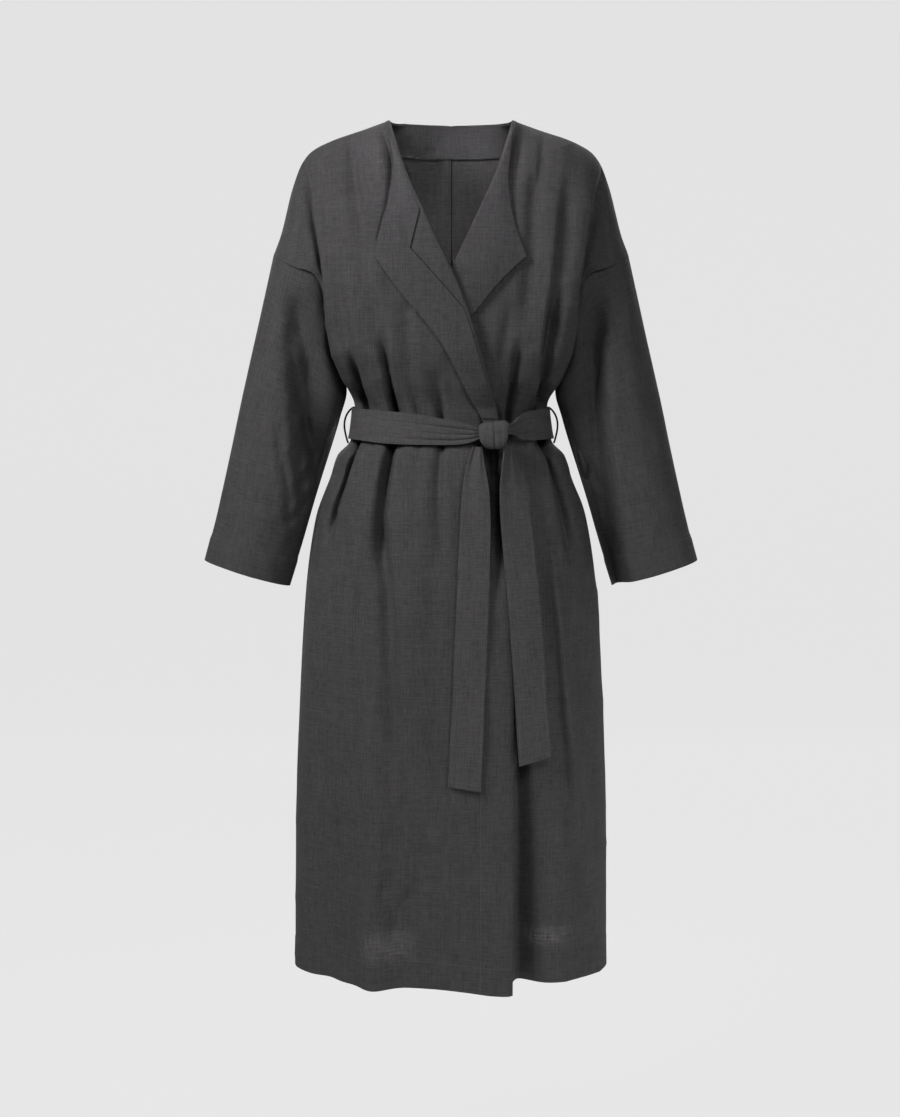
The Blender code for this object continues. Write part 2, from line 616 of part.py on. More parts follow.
def lapel_facing_sheet(side):
    """Facing on the turned-out lapel, made from the lapel's points moved out."""
    downs = ROWS[ROWS <= LAPEL_END[side] - FACING_SHORT]
    edge = inner_edge("front", downs)[0] + roll_radius(downs)
    width = LAPEL_EDGE[side](downs) - edge
    line = np.interp(downs, FACING_DOWNS, FACING_LINE["x"], left=-1.0, right=-1.0)
    start = np.clip((line - edge) / width, FACING_INSET, 1.0)
    lift = CLOTH / 2 + FACING_SLACK + FACING_CLOTH / 2
    end = 1.0 - FACING_INSET / 4
    columns = [lapel_point(side, downs, start + (end - start) * share, lift) for share in FACING_SHARES]
    points = np.stack(columns, axis=1)
    points[0, :, 1] = -SEAM_GAP / 2
    sheet = Sheet(points.reshape(-1, 3), grid_faces(0, len(downs), len(columns)), mirrored=side == "right")
    flatten(sheet.normals, np.arange(len(columns)), 1)
    return sheet


def neck_facing_sheet():
    """Band inside the back neck, from shoulder seam to shoulder seam."""
    stations = np.array([down for down in UPPER_ROWS if down <= BACK_NECK_DOWN])
    widths = np.array(NECK_FACING_SHARES)
    lift = -(CLOTH / 2 + NECK_FACING_SLACK + FACING_CLOTH / 2)
    halves = {}
    for side in SIDES:
        rows = []
        for down in stations:
            neck_x = FORM["neck_x"](down)
            low_x = neck_x + FACING_WIDTH * (1.0 - ease(down / BACK_NECK_DOWN))
            low_down = station_of("back", low_x, NECK_FACING_LOW(low_x))
            turn = turn_at("back", down, neck_x)
            low_turn = turn_at("back", low_down, low_x)
            downs = down + (low_down - down) * widths
            rows.append(cloth_point("back", side, downs, turn + (low_turn - turn) * widths, lift))
        halves[side] = np.stack(rows)
        halves[side][0, :, 1] = SEAM_GAP / 2
        halves[side][-1, :, 0] = 0.0
    points = np.concatenate([halves["right"], halves["left"][-2::-1]])
    rows, columns = points.shape[:2]
    sheet = Sheet(points.reshape(-1, 3), grid_faces(0, rows, columns))
    flatten(sheet.normals, np.arange(columns), 1)
    flatten(sheet.normals, (rows - 1) * columns + np.arange(columns), 1)
    return sheet


def ring_point(around, height, lift):
    """Point outside the waist at an angle from the centre front, positive to the wearer's left."""
    side = np.where(np.sin(around) < 0.0, -1.0, 1.0)
    away = np.abs(np.arctan2(np.sin(around), np.cos(around)))
    down = down_at(height)
    front_turn = np.minimum(away, RIGHT_ANGLE)
    back_turn = np.minimum(np.pi - away, RIGHT_ANGLE)
    in_front = (away <= RIGHT_ANGLE)[..., None]
    front = form_point("front", down, front_turn) + form_normal("front", down, front_turn) * lift[..., None]
    back = form_point("back", down, back_turn) + form_normal("back", down, back_turn) * lift[..., None]
    point = np.where(in_front, front, back)
    point[..., 0] *= side
    return point


def belt_band_sheet():
    """Strap round the waist, drawn narrower and lower where it goes into the knot."""
    degrees = np.linspace(-180.0, 180.0, BELT_STEPS, endpoint=False)
    from_knot = np.abs((degrees - KNOT_TURN + 180.0) % 360.0 - 180.0)
    near = np.exp(-(from_knot / KNOT_SPREAD) ** 2)
    width = BELT_WIDTH + (BELT_AT_KNOT - BELT_WIDTH) * near
    middle = BELT_MIDDLE_Z + (KNOT_Z - BELT_MIDDLE_Z) * near
    over_front = ramp(degrees, *BELT_ON_OVER_FRONT["from"]) * (1.0 - ramp(degrees, *BELT_ON_OVER_FRONT["to"]))
    from_lapel = (degrees - BELT_ON_LAPEL["turn"]) / BELT_ON_LAPEL["spread"]
    lift = BELT_LIFT + (BELT_FRONT_LIFT - BELT_LIFT) * over_front
    lift += (BELT_LAPEL_LIFT - BELT_FRONT_LIFT) * np.exp(-from_lapel ** BELT_ON_LAPEL["power"])
    around = np.radians(degrees)
    points = np.stack([ring_point(around, middle + width * share, lift) for share in STRAP_SHARES])
    count = len(degrees)
    faces = []
    for row in range(len(STRAP_SHARES) - 1):
        here = row * count + np.arange(count)
        beside = row * count + (np.arange(count) + 1) % count
        faces.append(np.stack([here, beside, beside + count, here + count], axis=-1))
    return Sheet(points.reshape(-1, 3), np.concatenate(faces))


def front_depth(across, height):
    """How far the plain form lies in front of the shoulder line."""
    down = down_at(height)
    return -form_point("front", down, turn_at("front", down, np.abs(across)))[..., 1]


def tail_sheet(tail):
    """Hanging end of the belt, gathered under the knot and flat lower down."""
    middle = smooth_curve(tail["z"], tail["x"])
    width = smooth_curve(tail["z"], tail["width"])
    heights = np.linspace(tail["z"][-1], tail["z"][0], TAIL_STEPS)
    across = middle(heights)[:, None] + width(heights)[:, None] * np.array(STRAP_SHARES)
    tall = np.broadcast_to(heights[:, None], across.shape)
    depth = front_depth(across, tall) + TAIL_LIFT
    points = np.stack([across, -depth, tall], axis=-1)
    return Sheet(points.reshape(-1, 3), grid_faces(0, *across.shape))


def add_knot():
    """Knot of the belt: a rounded block, its back clear of the belt."""
    round_steps, down_steps = KNOT_STEPS
    across, along = np.meshgrid(np.linspace(0, 2 * np.pi, round_steps, endpoint=False),
                                np.linspace(0, np.pi, down_steps + 1)[1:-1])

    def power(value):
        return np.sign(value) * np.abs(value) ** KNOT_ROUNDING

    shape = np.stack([power(np.sin(along)) * power(np.cos(across)), power(np.sin(along)) * power(np.sin(across)),
                      power(np.cos(along))], axis=-1)
    back = front_depth(np.array(KNOT_X), np.array(KNOT_Z)) + BELT_LAPEL_LIFT + BELT_CLOTH / 2 + SEAM_GAP
    middle = np.array([KNOT_X, -(back + KNOT_STAND + KNOT_SIZE[1] / 2), KNOT_Z])
    half = np.array(KNOT_SIZE) / 2
    rows, columns = shape.shape[:2]
    points = np.concatenate([(middle + shape * half).reshape(-1, 3),
                             [middle + half * (0, 0, 1), middle - half * (0, 0, 1)]])
    faces = []
    for column in range(columns):
        beside = (column + 1) % columns
        faces.append((rows * columns, column, beside))
        faces.append((rows * columns + 1, (rows - 1) * columns + beside, (rows - 1) * columns + column))
        for row in range(rows - 1):
            start = row * columns
            faces.append((start + column, start + columns + column, start + columns + beside, start + beside))
    add_object("belt_knot", points, faces, LINEN)


def add_loop(side):
    """Thread loop that stands off the side seam round the belt."""
    clear = CLOTH / 2 + SEAM_GAP + LOOP_RADIUS
    ends = [(FORM["side_x"](down_at(height)) + clear + LOOP_FOOT_GAP, height) for height in (LOOP_TOP_Z, LOOP_FOOT_Z)]
    belt_out = FORM["side_x"](down_at(BELT_MIDDLE_Z)) + BELT_LIFT + BELT_CLOTH / 2
    shares = np.linspace(0.0, 1.0, LOOP_STEPS)
    curve = bpy.data.curves.new("belt_loop_" + side, "CURVE")
    curve.dimensions = "3D"
    curve.bevel_depth = LOOP_RADIUS
    curve.bevel_resolution = 1
    curve.use_fill_caps = True
    line = curve.splines.new("POLY")
    line.points.add(len(shares) - 1)
    for place, share in enumerate(shares):
        height = ends[0][1] + (ends[1][1] - ends[0][1]) * share
        chord = ends[0][0] + (ends[1][0] - ends[0][0]) * share
        bow = math.sin(math.pi * share) ** LOOP_BOW
        out = chord + (belt_out + LOOP_STAND - chord) * bow
        line.points[place].co = (SIDES[side] * out, 0.0, height, 1.0)
    curve.materials.append(make_material("belt_loop_" + side + "_thread", THREAD))
    made = bpy.data.objects.new("belt_loop_" + side, curve)
    bpy.context.scene.collection.objects.link(made)


def build():
    """Make every piece of the jacket."""
    for side in SIDES:
        front = front_sheet(side)
        back = back_sheet(side)
        sleeve = sleeve_sheet(side, front, back)
        add_wall("front_" + side, front, CLOTH, LINEN)
        add_wall("back_" + side, back, CLOTH, LINEN)
        add_wall("sleeve_" + side, sleeve, CLOTH, LINEN)
        add_wall("facing_" + side, lapel_facing_sheet(side), FACING_CLOTH, INNER_LINEN)
        add_loop(side)
    add_wall("back_neck_facing", neck_facing_sheet(), FACING_CLOTH, INNER_LINEN)
    add_wall("belt_band", belt_band_sheet(), BELT_CLOTH, LINEN)
    add_knot()
    add_wall("belt_tail_right", tail_sheet(TAIL_RIGHT), BELT_CLOTH, LINEN)
    add_wall("belt_tail_left", tail_sheet(TAIL_LEFT), BELT_CLOTH, LINEN)


build()
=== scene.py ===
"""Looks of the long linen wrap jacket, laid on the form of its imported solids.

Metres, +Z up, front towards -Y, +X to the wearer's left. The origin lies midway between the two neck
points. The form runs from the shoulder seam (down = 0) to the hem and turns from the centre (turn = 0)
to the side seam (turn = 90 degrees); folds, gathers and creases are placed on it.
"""

import math

import bpy
import numpy as np
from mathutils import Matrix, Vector


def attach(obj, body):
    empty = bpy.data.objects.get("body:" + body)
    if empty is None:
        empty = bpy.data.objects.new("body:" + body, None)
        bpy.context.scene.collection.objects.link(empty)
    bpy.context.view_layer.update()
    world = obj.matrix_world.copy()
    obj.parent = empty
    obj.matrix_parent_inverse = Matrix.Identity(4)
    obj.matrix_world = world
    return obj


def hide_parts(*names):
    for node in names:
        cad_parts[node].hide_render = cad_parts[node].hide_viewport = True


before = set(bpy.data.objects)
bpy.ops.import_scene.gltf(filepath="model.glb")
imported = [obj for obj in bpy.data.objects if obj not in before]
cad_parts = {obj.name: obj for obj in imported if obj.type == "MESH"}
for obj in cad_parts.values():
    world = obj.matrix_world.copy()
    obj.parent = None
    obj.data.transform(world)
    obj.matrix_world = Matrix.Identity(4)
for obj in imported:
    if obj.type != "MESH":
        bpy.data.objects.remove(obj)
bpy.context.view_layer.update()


def table(columns, *rows):
    """Name the columns of a short table of sizes."""
    values = np.array(rows, dtype=float)
    return {name: values[:, place] for place, name in enumerate(columns.split())}


def rows_of(sizes):
    """Rows of a table, each as its named sizes."""
    return [dict(zip(sizes, row)) for row in zip(*sizes.values())]


# Cloth and making
CLOTH = 0.0011
FACING_CLOTH = 0.0009
BELT_CLOTH = 0.0020
SEAM_GAP = -0.0001
FACING_SLACK = 0.0009
FACING_INSET = 0.04
FACING_EDGE_INSET = 0.01
FACING_WIDTH = 0.043
FACING_SHORT = 0.030
NECK_FACING_SLACK = 0.0016
UNDERARM_STAND = 0.0024
ROLL_RADIUS = 0.0028
SEAM_ALLOWANCE = 0.012
SEAM_ALLOWANCE_EDGE = 0.002
SEAM_ALLOWANCE_LIFT = 0.0016
SHOULDER_SLOPE = 0.41

# Form of the body, a row for each section from the shoulder seam to the hem
SECTIONS = table(
    "down   front_z side_x side_z  arm   front front_square pinch neck_x back_z back  back_square",
    (0.000, 0.000, 0.2326, -0.175, 0.000, 0.000, 2.0, 0.000, 0.0805, 0.000, 0.000, 2.0),
    (0.055, -0.017, 0.2270, -0.179, 0.028, 0.052, 2.2, 0.000, 0.0785, 0.001, 0.036, 2.2),
    (0.115, -0.066, 0.2090, -0.189, 0.050, 0.088, 2.6, 0.000, 0.0600, 0.001, 0.066, 2.4),
    (0.185, -0.130, 0.1870, -0.205, 0.056, 0.115, 3.0, 0.004, 0.0000, -0.001, 0.077, 2.4),
    (0.260, -0.200, 0.1650, -0.240, 0.045, 0.129, 3.0, 0.014, 0.0000, -0.100, 0.104, 2.6),
    (0.345, -0.285, 0.1490, -0.298, 0.000, 0.131, 2.8, 0.022, 0.0000, -0.262, 0.112, 2.6),
    (0.390, -0.337, 0.1410, -0.337, 0.000, 0.120, 2.5, 0.012, 0.0000, -0.337, 0.103, 2.4),
    (0.426, -0.373, 0.1265, -0.373, 0.000, 0.108, 2.3, 0.000, 0.0000, -0.373, 0.093, 2.2),
    (0.471, -0.418, 0.1325, -0.418, 0.000, 0.109, 2.3, 0.000, 0.0000, -0.418, 0.096, 2.2),
    (0.490, -0.437, 0.1495, -0.437, 0.000, 0.117, 2.3, 0.000, 0.0000, -0.437, 0.105, 2.2),
    (0.520, -0.465, 0.1585, -0.465, 0.000, 0.124, 2.3, 0.000, 0.0000, -0.465, 0.114, 2.3),
    (0.577, -0.520, 0.1785, -0.520, 0.000, 0.134, 2.3, 0.000, 0.0000, -0.520, 0.124, 2.3),
    (0.668, -0.610, 0.1917, -0.610, 0.000, 0.142, 2.3, 0.000, 0.0000, -0.610, 0.130, 2.3),
    (0.808, -0.750, 0.2005, -0.750, 0.000, 0.147, 2.3, 0.000, 0.0000, -0.750, 0.131, 2.3),
    (1.008, -0.950, 0.2075, -0.950, 0.000, 0.151, 2.3, 0.000, 0.0000, -0.950, 0.132, 2.3),
    (1.174, -1.116, 0.2087, -1.116, 0.000, 0.152, 2.3, 0.000, 0.0000, -1.116, 0.132, 2.3),
)
UNDERARM_DOWN = 0.345
WAIST_DOWN = 0.450
UPPER_END = 0.500
HEM_DOWN = 1.174
BACK_NECK_DOWN = 0.185
PINCH_POWER = 16

# Line of the shoulder seam: share of the way out, share of the drop to the armhole
SHOULDER = table(
    "out drop",
    (0.000, 0.000), (0.217, 0.068), (0.497, 0.152), (0.670, 0.232), (0.750, 0.318),
    (0.830, 0.497), (0.936, 0.851), (1.000, 1.000),
)

# Front edge: where the roll line, and below the belt the edge itself, crosses each height
FRONT_EDGE = table(
    "z x",
    (-1.126, -0.0810), (-0.766, -0.0815), (-0.500, -0.0760), (-0.420, -0.0670), (-0.386, -0.0599),
    (-0.310, -0.0405), (-0.222, -0.0125), (-0.141, 0.0254), (-0.0676, 0.0587), (0.000, 0.0805),
)

# Smooth curve of the back just below the neck
BACK_NECK = {"across": (0.045, 0.085), "below": (0.045, 0.110), "depth": 0.077, "slope": 0.27, "round": 4.5}

# Lapels: outline of the free edge from the shoulder seam down, out from the centre on the own side
LAPELS = {
    "right": table(
        "x z",
        (0.0860, -0.002), (0.0740, -0.045), (0.0715, -0.068), (0.0776, -0.108), (0.0874, -0.141),
        (0.0959, -0.180), (0.0655, -0.222), (0.0240, -0.272), (-0.0012, -0.310), (-0.0266, -0.361),
        (-0.0380, -0.386), (-0.0500, -0.418),
    ),
    "left": table(
        "x z",
        (0.0860, -0.002), (0.0750, -0.045), (0.0712, -0.082), (0.0735, -0.108), (0.0797, -0.134),
        (0.0958, -0.179), (0.0616, -0.211), (0.0240, -0.257), (0.0000, -0.283), (-0.0300, -0.318),
    ),
}
LAPEL_TIP = 5
LAPEL_END = {"right": 0.468, "left": 0.372}
LAPEL_EDGE_LIFT = 0.0042
LAPEL_SWELL = 0.0025
SHOULDER_LIFT = 0.10
SHOULDER_LIFT_END = 0.035
ROLL_AT_SHOULDER = 0.12
ROLL_OPENS = 0.080

# Inner line of the facing on the lapel, and lower edge of the facing inside the back neck
FACING_LINE = table("x z", (0.038, -0.120), (0.0505, -0.172), (-0.015, -0.244))
NECK_FACING = table(
    "x z",
    (0.000, -0.0430), (0.035, -0.0432), (0.069, -0.0420), (0.105, -0.0280), (0.126, -0.0130),
)

# Hang of the front corners at the hem
HEM_DROP = {"right": 0.012, "left": -0.006}
HEM_DROP_REACH = 0.110
HEM_DROP_START = 0.95

# Overlap of the two fronts: how far the over and the under front stand off the shared form
LAP_LIFT = {"right": 0.005, "left": -0.007}
LAP_ACROSS = (0.085, 0.130)
LAP_DOWN = (0.130, 0.210)
BELT_PRESS = 0.5
BELT_PRESS_SPAN = 0.060

# Large gathers at the belt and waves at the hem, as in the solids: turn from the centre front towards
# the wearer's left at the belt and at the far end, heights of both ends, widths there and depth
FOLDS = table(
    "turn far_turn z    far_z  width far_width depth",
    (-58, -57, -0.380, -0.285, 0.010, 0.020, 0.010),
    (-31, -33, -0.380, -0.285, 0.009, 0.018, 0.009),
    (-5, -4, -0.380, -0.310, 0.010, 0.018, 0.004),
    (56, 60, -0.380, -0.180, 0.010, 0.018, 0.011),
    (34, 36, -0.380, -0.310, 0.010, 0.018, 0.004),
    (-122, -120, -0.380, -0.285, 0.010, 0.020, 0.009),
    (-152, -154, -0.380, -0.270, 0.010, 0.020, 0.008),
    (122, 120, -0.380, -0.285, 0.010, 0.020, 0.009),
    (152, 154, -0.380, -0.270, 0.010, 0.020, 0.008),
    (-68, -71, -0.415, -0.560, 0.010, 0.024, 0.012),
    (-28, -18, -0.415, -0.900, 0.009, 0.034, 0.011),
    (-5, -5, -0.415, -0.520, 0.010, 0.018, 0.004),
    (63, 62, -0.415, -0.600, 0.010, 0.026, 0.012),
    (38, 40, -0.415, -0.520, 0.010, 0.020, 0.005),
    (-118, -116, -0.415, -0.600, 0.010, 0.026, 0.011),
    (-150, -156, -0.415, -0.800, 0.010, 0.034, 0.010),
    (118, 116, -0.415, -0.600, 0.010, 0.026, 0.011),
    (150, 156, -0.415, -0.800, 0.010, 0.034, 0.010),
    (-12, -12, -1.116, -0.760, 0.024, 0.030, 0.007),
    (-25, -24, -1.116, -0.760, 0.028, 0.030, -0.008),
    (37, 37, -1.116, -0.800, 0.030, 0.030, -0.006),
)
FOLD_RIDGE = 0.30
FOLD_RIDGE_START = 4.0
FOLD_RIDGE_PLACE = 2.2
FOLD_END = 6.0
FOLD_SHARE = 0.35

# Fold between chest and arm, a row for each station: place out from the centre, width and depth
ARM_FOLD = table(
    "down across width depth",
    (0.040, 0.199, 0.010, 0.000), (0.075, 0.196, 0.010, 0.004), (0.120, 0.1915, 0.010, 0.008),
    (0.185, 0.1835, 0.009, 0.011), (0.240, 0.1760, 0.009, 0.009), (0.300, 0.1640, 0.010, 0.000),
)

# Upper arm part of the front, which lies further back than the chest and runs on into the sleeve
ARM_PART = {
    "turn": (math.radians(48), math.radians(72)),
    "begins": (0.010, 0.060),
    "ends": (0.170, 0.250),
    "share": 0.48,
}

# Creases on each side of the jacket, a row for each: start, middle and end, widths and depths at both
# ends (a negative depth is a ridge), the share of the depth that stands up beside the trough, and how
# much wider the trough is towards -X than towards +X
CREASE_COLUMNS = "x z mid_x mid_z far_x far_z width far_width depth far_depth ridge lean"
CREASES = {
    "front": table(
        CREASE_COLUMNS,
        (-0.1100, -0.390, -0.1165, -0.352, -0.1300, -0.295, 0.0036, 0.0052, 0.0300, 0.0140, 0.04, 0.30),
        (-0.1210, -0.345, -0.1360, -0.265, -0.1500, -0.170, 0.0075, 0.0110, 0.0090, 0.0050, 0.20, 0.30),
        (-0.0685, -0.392, -0.0780, -0.332, -0.0895, -0.255, 0.0034, 0.0060, 0.0270, 0.0100, 0.04, 0.30),
        (-0.0830, -0.310, -0.0880, -0.270, -0.0930, -0.210, 0.0090, 0.0120, 0.0030, 0.0012, 0.20, 0.20),
        (-0.0110, -0.388, -0.0150, -0.357, -0.0220, -0.315, 0.0036, 0.0090, 0.0120, 0.0020, 0.08, 0.30),
        (-0.0400, -0.386, -0.0440, -0.362, -0.0500, -0.325, 0.0034, 0.0090, 0.0080, 0.0012, 0.08, 0.30),
        (0.1165, -0.390, 0.1205, -0.315, 0.1360, -0.205, 0.0046, 0.0080, 0.0340, 0.0150, 0.03, -0.50),
        (0.1300, -0.260, 0.1420, -0.165, 0.1530, -0.050, 0.0090, 0.0110, 0.0110, 0.0060, 0.15, -0.40),
        (0.0750, -0.390, 0.0806, -0.338, 0.0920, -0.275, 0.0038, 0.0074, 0.0260, 0.0070, 0.05, -0.30),
        (0.0652, -0.310, 0.0755, -0.261, 0.0882, -0.215, 0.0080, 0.0100, 0.0036, 0.0016, 0.20, -0.20),
        (-0.0850, -0.026, -0.0750, -0.066, -0.0700, -0.110, 0.0045, 0.0070, 0.0130, 0.0040, 0.03, 0.30),
        (-0.0780, -0.036, -0.0800, -0.108, -0.1010, -0.190, 0.0028, 0.0030, 0.0070, 0.0060, 0.00, 0.30),
        (0.0860, -0.022, 0.0790, -0.063, 0.0745, -0.110, 0.0045, 0.0070, 0.0120, 0.0030, 0.03, -0.30),
        (-0.1290, -0.040, -0.1190, -0.108, -0.1010, -0.195, 0.0065, 0.0100, 0.0090, 0.0040, 0.25, 0.30),
        (-0.1060, -0.180, -0.0980, -0.250, -0.0890, -0.330, 0.0090, 0.0110, 0.0050, 0.0040, 0.25, 0.30),
        (-0.0540, -0.250, -0.0530, -0.300, -0.0560, -0.370, 0.0080, 0.0100, 0.0036, 0.0030, 0.25, 0.30),
        (0.1200, -0.028, 0.1140, -0.069, 0.1100, -0.130, 0.0050, 0.0080, 0.0028, 0.0012, 0.30, -0.20),
        (0.1040, -0.100, 0.1030, -0.180, 0.0960, -0.290, 0.0100, 0.0130, 0.0060, 0.0045, 0.25, -0.30),
        (-0.1930, -0.065, -0.1790, -0.140, -0.1640, -0.250, 0.0048, 0.0062, 0.0100, 0.0420, 0.05, 0.50),
        (0.1970, -0.070, 0.1820, -0.145, 0.1670, -0.250, 0.0050, 0.0070, 0.0120, 0.0440, 0.05, -0.50),
        (-0.1150, -0.404, -0.1394, -0.468, -0.1640, -0.560, 0.0036, 0.0050, 0.0320, 0.0180, 0.04, 0.30),
        (-0.1560, -0.515, -0.1610, -0.560, -0.1660, -0.620, 0.0080, 0.0100, 0.0044, 0.0018, 0.20, 0.20),
        (-0.0706, -0.404, -0.0850, -0.480, -0.0835, -0.600, 0.0040, 0.0085, 0.0280, 0.0110, 0.04, 0.30),
        (-0.0830, -0.560, -0.0770, -0.660, -0.0760, -0.900, 0.0105, 0.0140, 0.0130, 0.0060, 0.12, 0.25),
        (-0.0110, -0.410, -0.0153, -0.475, -0.0050, -0.600, 0.0046, 0.0090, 0.0085, 0.0050, 0.10, 0.25),
        (-0.0400, -0.412, -0.0430, -0.450, -0.0480, -0.520, 0.0040, 0.0120, 0.0030, 0.0010, 0.12, 0.30),
        (-0.1000, -0.412, -0.1040, -0.445, -0.1100, -0.500, 0.0040, 0.0120, 0.0030, 0.0010, 0.12, 0.30),
        (0.1165, -0.404, 0.1345, -0.462, 0.1580, -0.600, 0.0038, 0.0080, 0.0320, 0.0120, 0.04, -0.30),
        (0.0990, -0.412, 0.1070, -0.450, 0.1150, -0.520, 0.0040, 0.0120, 0.0036, 0.0010, 0.12, -0.30),
        (0.0560, -0.406, 0.0550, -0.490, 0.0530, -0.620, 0.0095, 0.0120, 0.0450, 0.0160, 0.00, 0.00),
        (0.0870, -0.700, 0.0890, -0.900, 0.0950, -1.350, 0.0080, 0.0190, 0.0140, 0.0420, 0.00, -0.50),
        (0.1400, -0.640, 0.1560, -0.800, 0.2000, -1.150, 0.0065, 0.0085, -0.0075, -0.0090, 0.40, 0.00),
        (0.1180, -0.560, 0.1210, -0.760, 0.1240, -1.050, 0.0150, 0.0200, 0.0080, 0.0040, 0.25, -0.30),
        (-0.1460, -0.600, -0.1540, -0.800, -0.1620, -1.380, 0.0140, 0.0220, 0.0070, 0.0150, 0.15, 0.30),
        (-0.1050, -0.760, -0.1020, -0.950, -0.0980, -1.420, 0.0170, 0.0240, -0.0040, -0.0420, 0.10, 0.00),
        (-0.1120, -0.620, -0.1160, -0.760, -0.1180, -0.930, 0.0120, 0.0180, 0.0045, 0.0025, 0.25, 0.30),
        (-0.0230, -0.580, -0.0220, -0.800, -0.0260, -1.040, 0.0140, 0.0200, 0.0050, 0.0040, 0.25, 0.30),
        (0.0460, -0.870, 0.0470, -0.980, 0.0490, -1.090, 0.0140, 0.0180, 0.0018, 0.0020, 0.30, 0.00),
        (-0.0620, -0.876, -0.0720, -0.905, -0.0830, -0.940, 0.0050, 0.0060, 0.0026, 0.0010, 0.40, 0.00),
        (-0.0455, -0.975, -0.0568, -1.002, -0.0690, -1.030, 0.0055, 0.0070, 0.0044, 0.0022, 0.30, 0.00),
        (-0.0820, -0.975, -0.0900, -0.995, -0.1000, -1.015, 0.0045, 0.0055, 0.0020, 0.0006, 0.40, 0.00),
        (-0.1080, -0.860, -0.0960, -0.842, -0.0860, -0.815, 0.0045, 0.0060, 0.0016, 0.0006, 0.40, 0.00),
        (-0.1500, -0.600, -0.1320, -0.592, -0.1100, -0.570, 0.0045, 0.0060, 0.0014, 0.0006, 0.40, 0.00),
        (0.1500, -0.900, 0.1360, -0.880, 0.1180, -0.850, 0.0045, 0.0060, 0.0016, 0.0006, 0.40, 0.00),
        (0.1660, -0.980, 0.1500, -0.960, 0.1300, -0.935, 0.0045, 0.0060, 0.0016, 0.0006, 0.40, 0.00),
    ),
    "back": table(
        CREASE_COLUMNS,
        (-0.0900, -0.380, -0.0970, -0.345, -0.1080, -0.280, 0.0034, 0.0100, 0.0170, 0.0040, 0.08, 0.30),
        (-0.0480, -0.382, -0.0510, -0.340, -0.0570, -0.260, 0.0034, 0.0110, 0.0160, 0.0036, 0.08, 0.30),
        (0.0180, -0.382, 0.0190, -0.350, 0.0240, -0.290, 0.0040, 0.0110, 0.0080, 0.0024, 0.10, 0.00),
        (0.0620, -0.380, 0.0660, -0.340, 0.0740, -0.260, 0.0034, 0.0110, 0.0170, 0.0040, 0.08, -0.30),
        (0.0980, -0.378, 0.1040, -0.345, 0.1150, -0.290, 0.0034, 0.0100, 0.0150, 0.0036, 0.08, -0.30),
        (-0.0930, -0.412, -0.1040, -0.470, -0.1160, -0.580, 0.0038, 0.0120, 0.0220, 0.0060, 0.08, 0.30),
        (-0.0450, -0.412, -0.0500, -0.480, -0.0580, -0.660, 0.0038, 0.0130, 0.0200, 0.0060, 0.08, 0.30),
        (0.0120, -0.412, 0.0130, -0.470, 0.0160, -0.580, 0.0042, 0.0140, 0.0090, 0.0030, 0.10, 0.00),
        (0.0560, -0.412, 0.0620, -0.480, 0.0700, -0.680, 0.0038, 0.0130, 0.0210, 0.0060, 0.08, -0.30),
        (0.0980, -0.412, 0.1100, -0.465, 0.1220, -0.570, 0.0038, 0.0120, 0.0200, 0.0056, 0.08, -0.30),
        (-0.1450, -0.120, -0.1340, -0.200, -0.1100, -0.330, 0.0110, 0.0130, 0.0070, 0.0054, 0.20, 0.20),
        (0.1450, -0.130, 0.1330, -0.210, 0.1120, -0.330, 0.0110, 0.0130, 0.0070, 0.0054, 0.20, -0.20),
        (-0.0700, -0.640, -0.0740, -0.800, -0.0760, -1.300, 0.0150, 0.0230, 0.0080, 0.0120, 0.15, 0.00),
        (0.0800, -0.640, 0.0830, -0.800, 0.0850, -1.260, 0.0150, 0.0230, 0.0076, 0.0110, 0.15, 0.00),
        (0.0150, -0.560, 0.0140, -0.700, 0.0100, -1.060, 0.0140, 0.0220, 0.0050, 0.0040, 0.20, 0.00),
        (-0.1300, -0.820, -0.1120, -0.810, -0.0920, -0.790, 0.0045, 0.0060, 0.0020, 0.0008, 0.40, 0.00),
        (0.0600, -0.900, 0.0800, -0.880, 0.1020, -0.865, 0.0045, 0.0060, 0.0020, 0.0008, 0.40, 0.00),
    ),
    "sleeve_right": table(
        CREASE_COLUMNS,
        (-0.2120, -0.265, -0.2030, -0.335, -0.1720, -0.460, 0.0095, 0.0080, 0.0040, 0.0340, 0.04, 0.10),
        (-0.1960, -0.250, -0.1830, -0.335, -0.1580, -0.520, 0.0190, 0.0220, 0.0260, 0.0480, 0.00, -0.30),
        (-0.1880, -0.330, -0.1860, -0.390, -0.1980, -0.460, 0.0070, 0.0100, 0.0046, 0.0050, 0.15, 0.30),
        (-0.2050, -0.390, -0.1960, -0.440, -0.2020, -0.520, 0.0050, 0.0080, 0.0072, 0.0040, 0.30, 0.20),
        (-0.2240, -0.420, -0.2140, -0.470, -0.2150, -0.545, 0.0045, 0.0070, 0.0048, 0.0028, 0.35, 0.20),
        (-0.1780, -0.440, -0.1920, -0.470, -0.2090, -0.485, 0.0045, 0.0055, 0.0050, 0.0020, 0.35, 0.00),
        (-0.1880, -0.490, -0.2030, -0.515, -0.2200, -0.525, 0.0045, 0.0055, 0.0046, 0.0018, 0.35, 0.00),
        (-0.2300, -0.485, -0.2280, -0.515, -0.2330, -0.550, 0.0050, 0.0070, 0.0016, 0.0008, 0.30, 0.20),
        (-0.2500, -0.300, -0.2450, -0.380, -0.2520, -0.460, 0.0110, 0.0130, 0.0022, 0.0020, 0.30, 0.20),
        (-0.2700, -0.420, -0.2660, -0.470, -0.2720, -0.530, 0.0110, 0.0130, 0.0018, 0.0014, 0.30, 0.20),
        (-0.2360, -0.200, -0.2340, -0.250, -0.2380, -0.300, 0.0100, 0.0120, 0.0024, 0.0012, 0.30, 0.20),
    ),
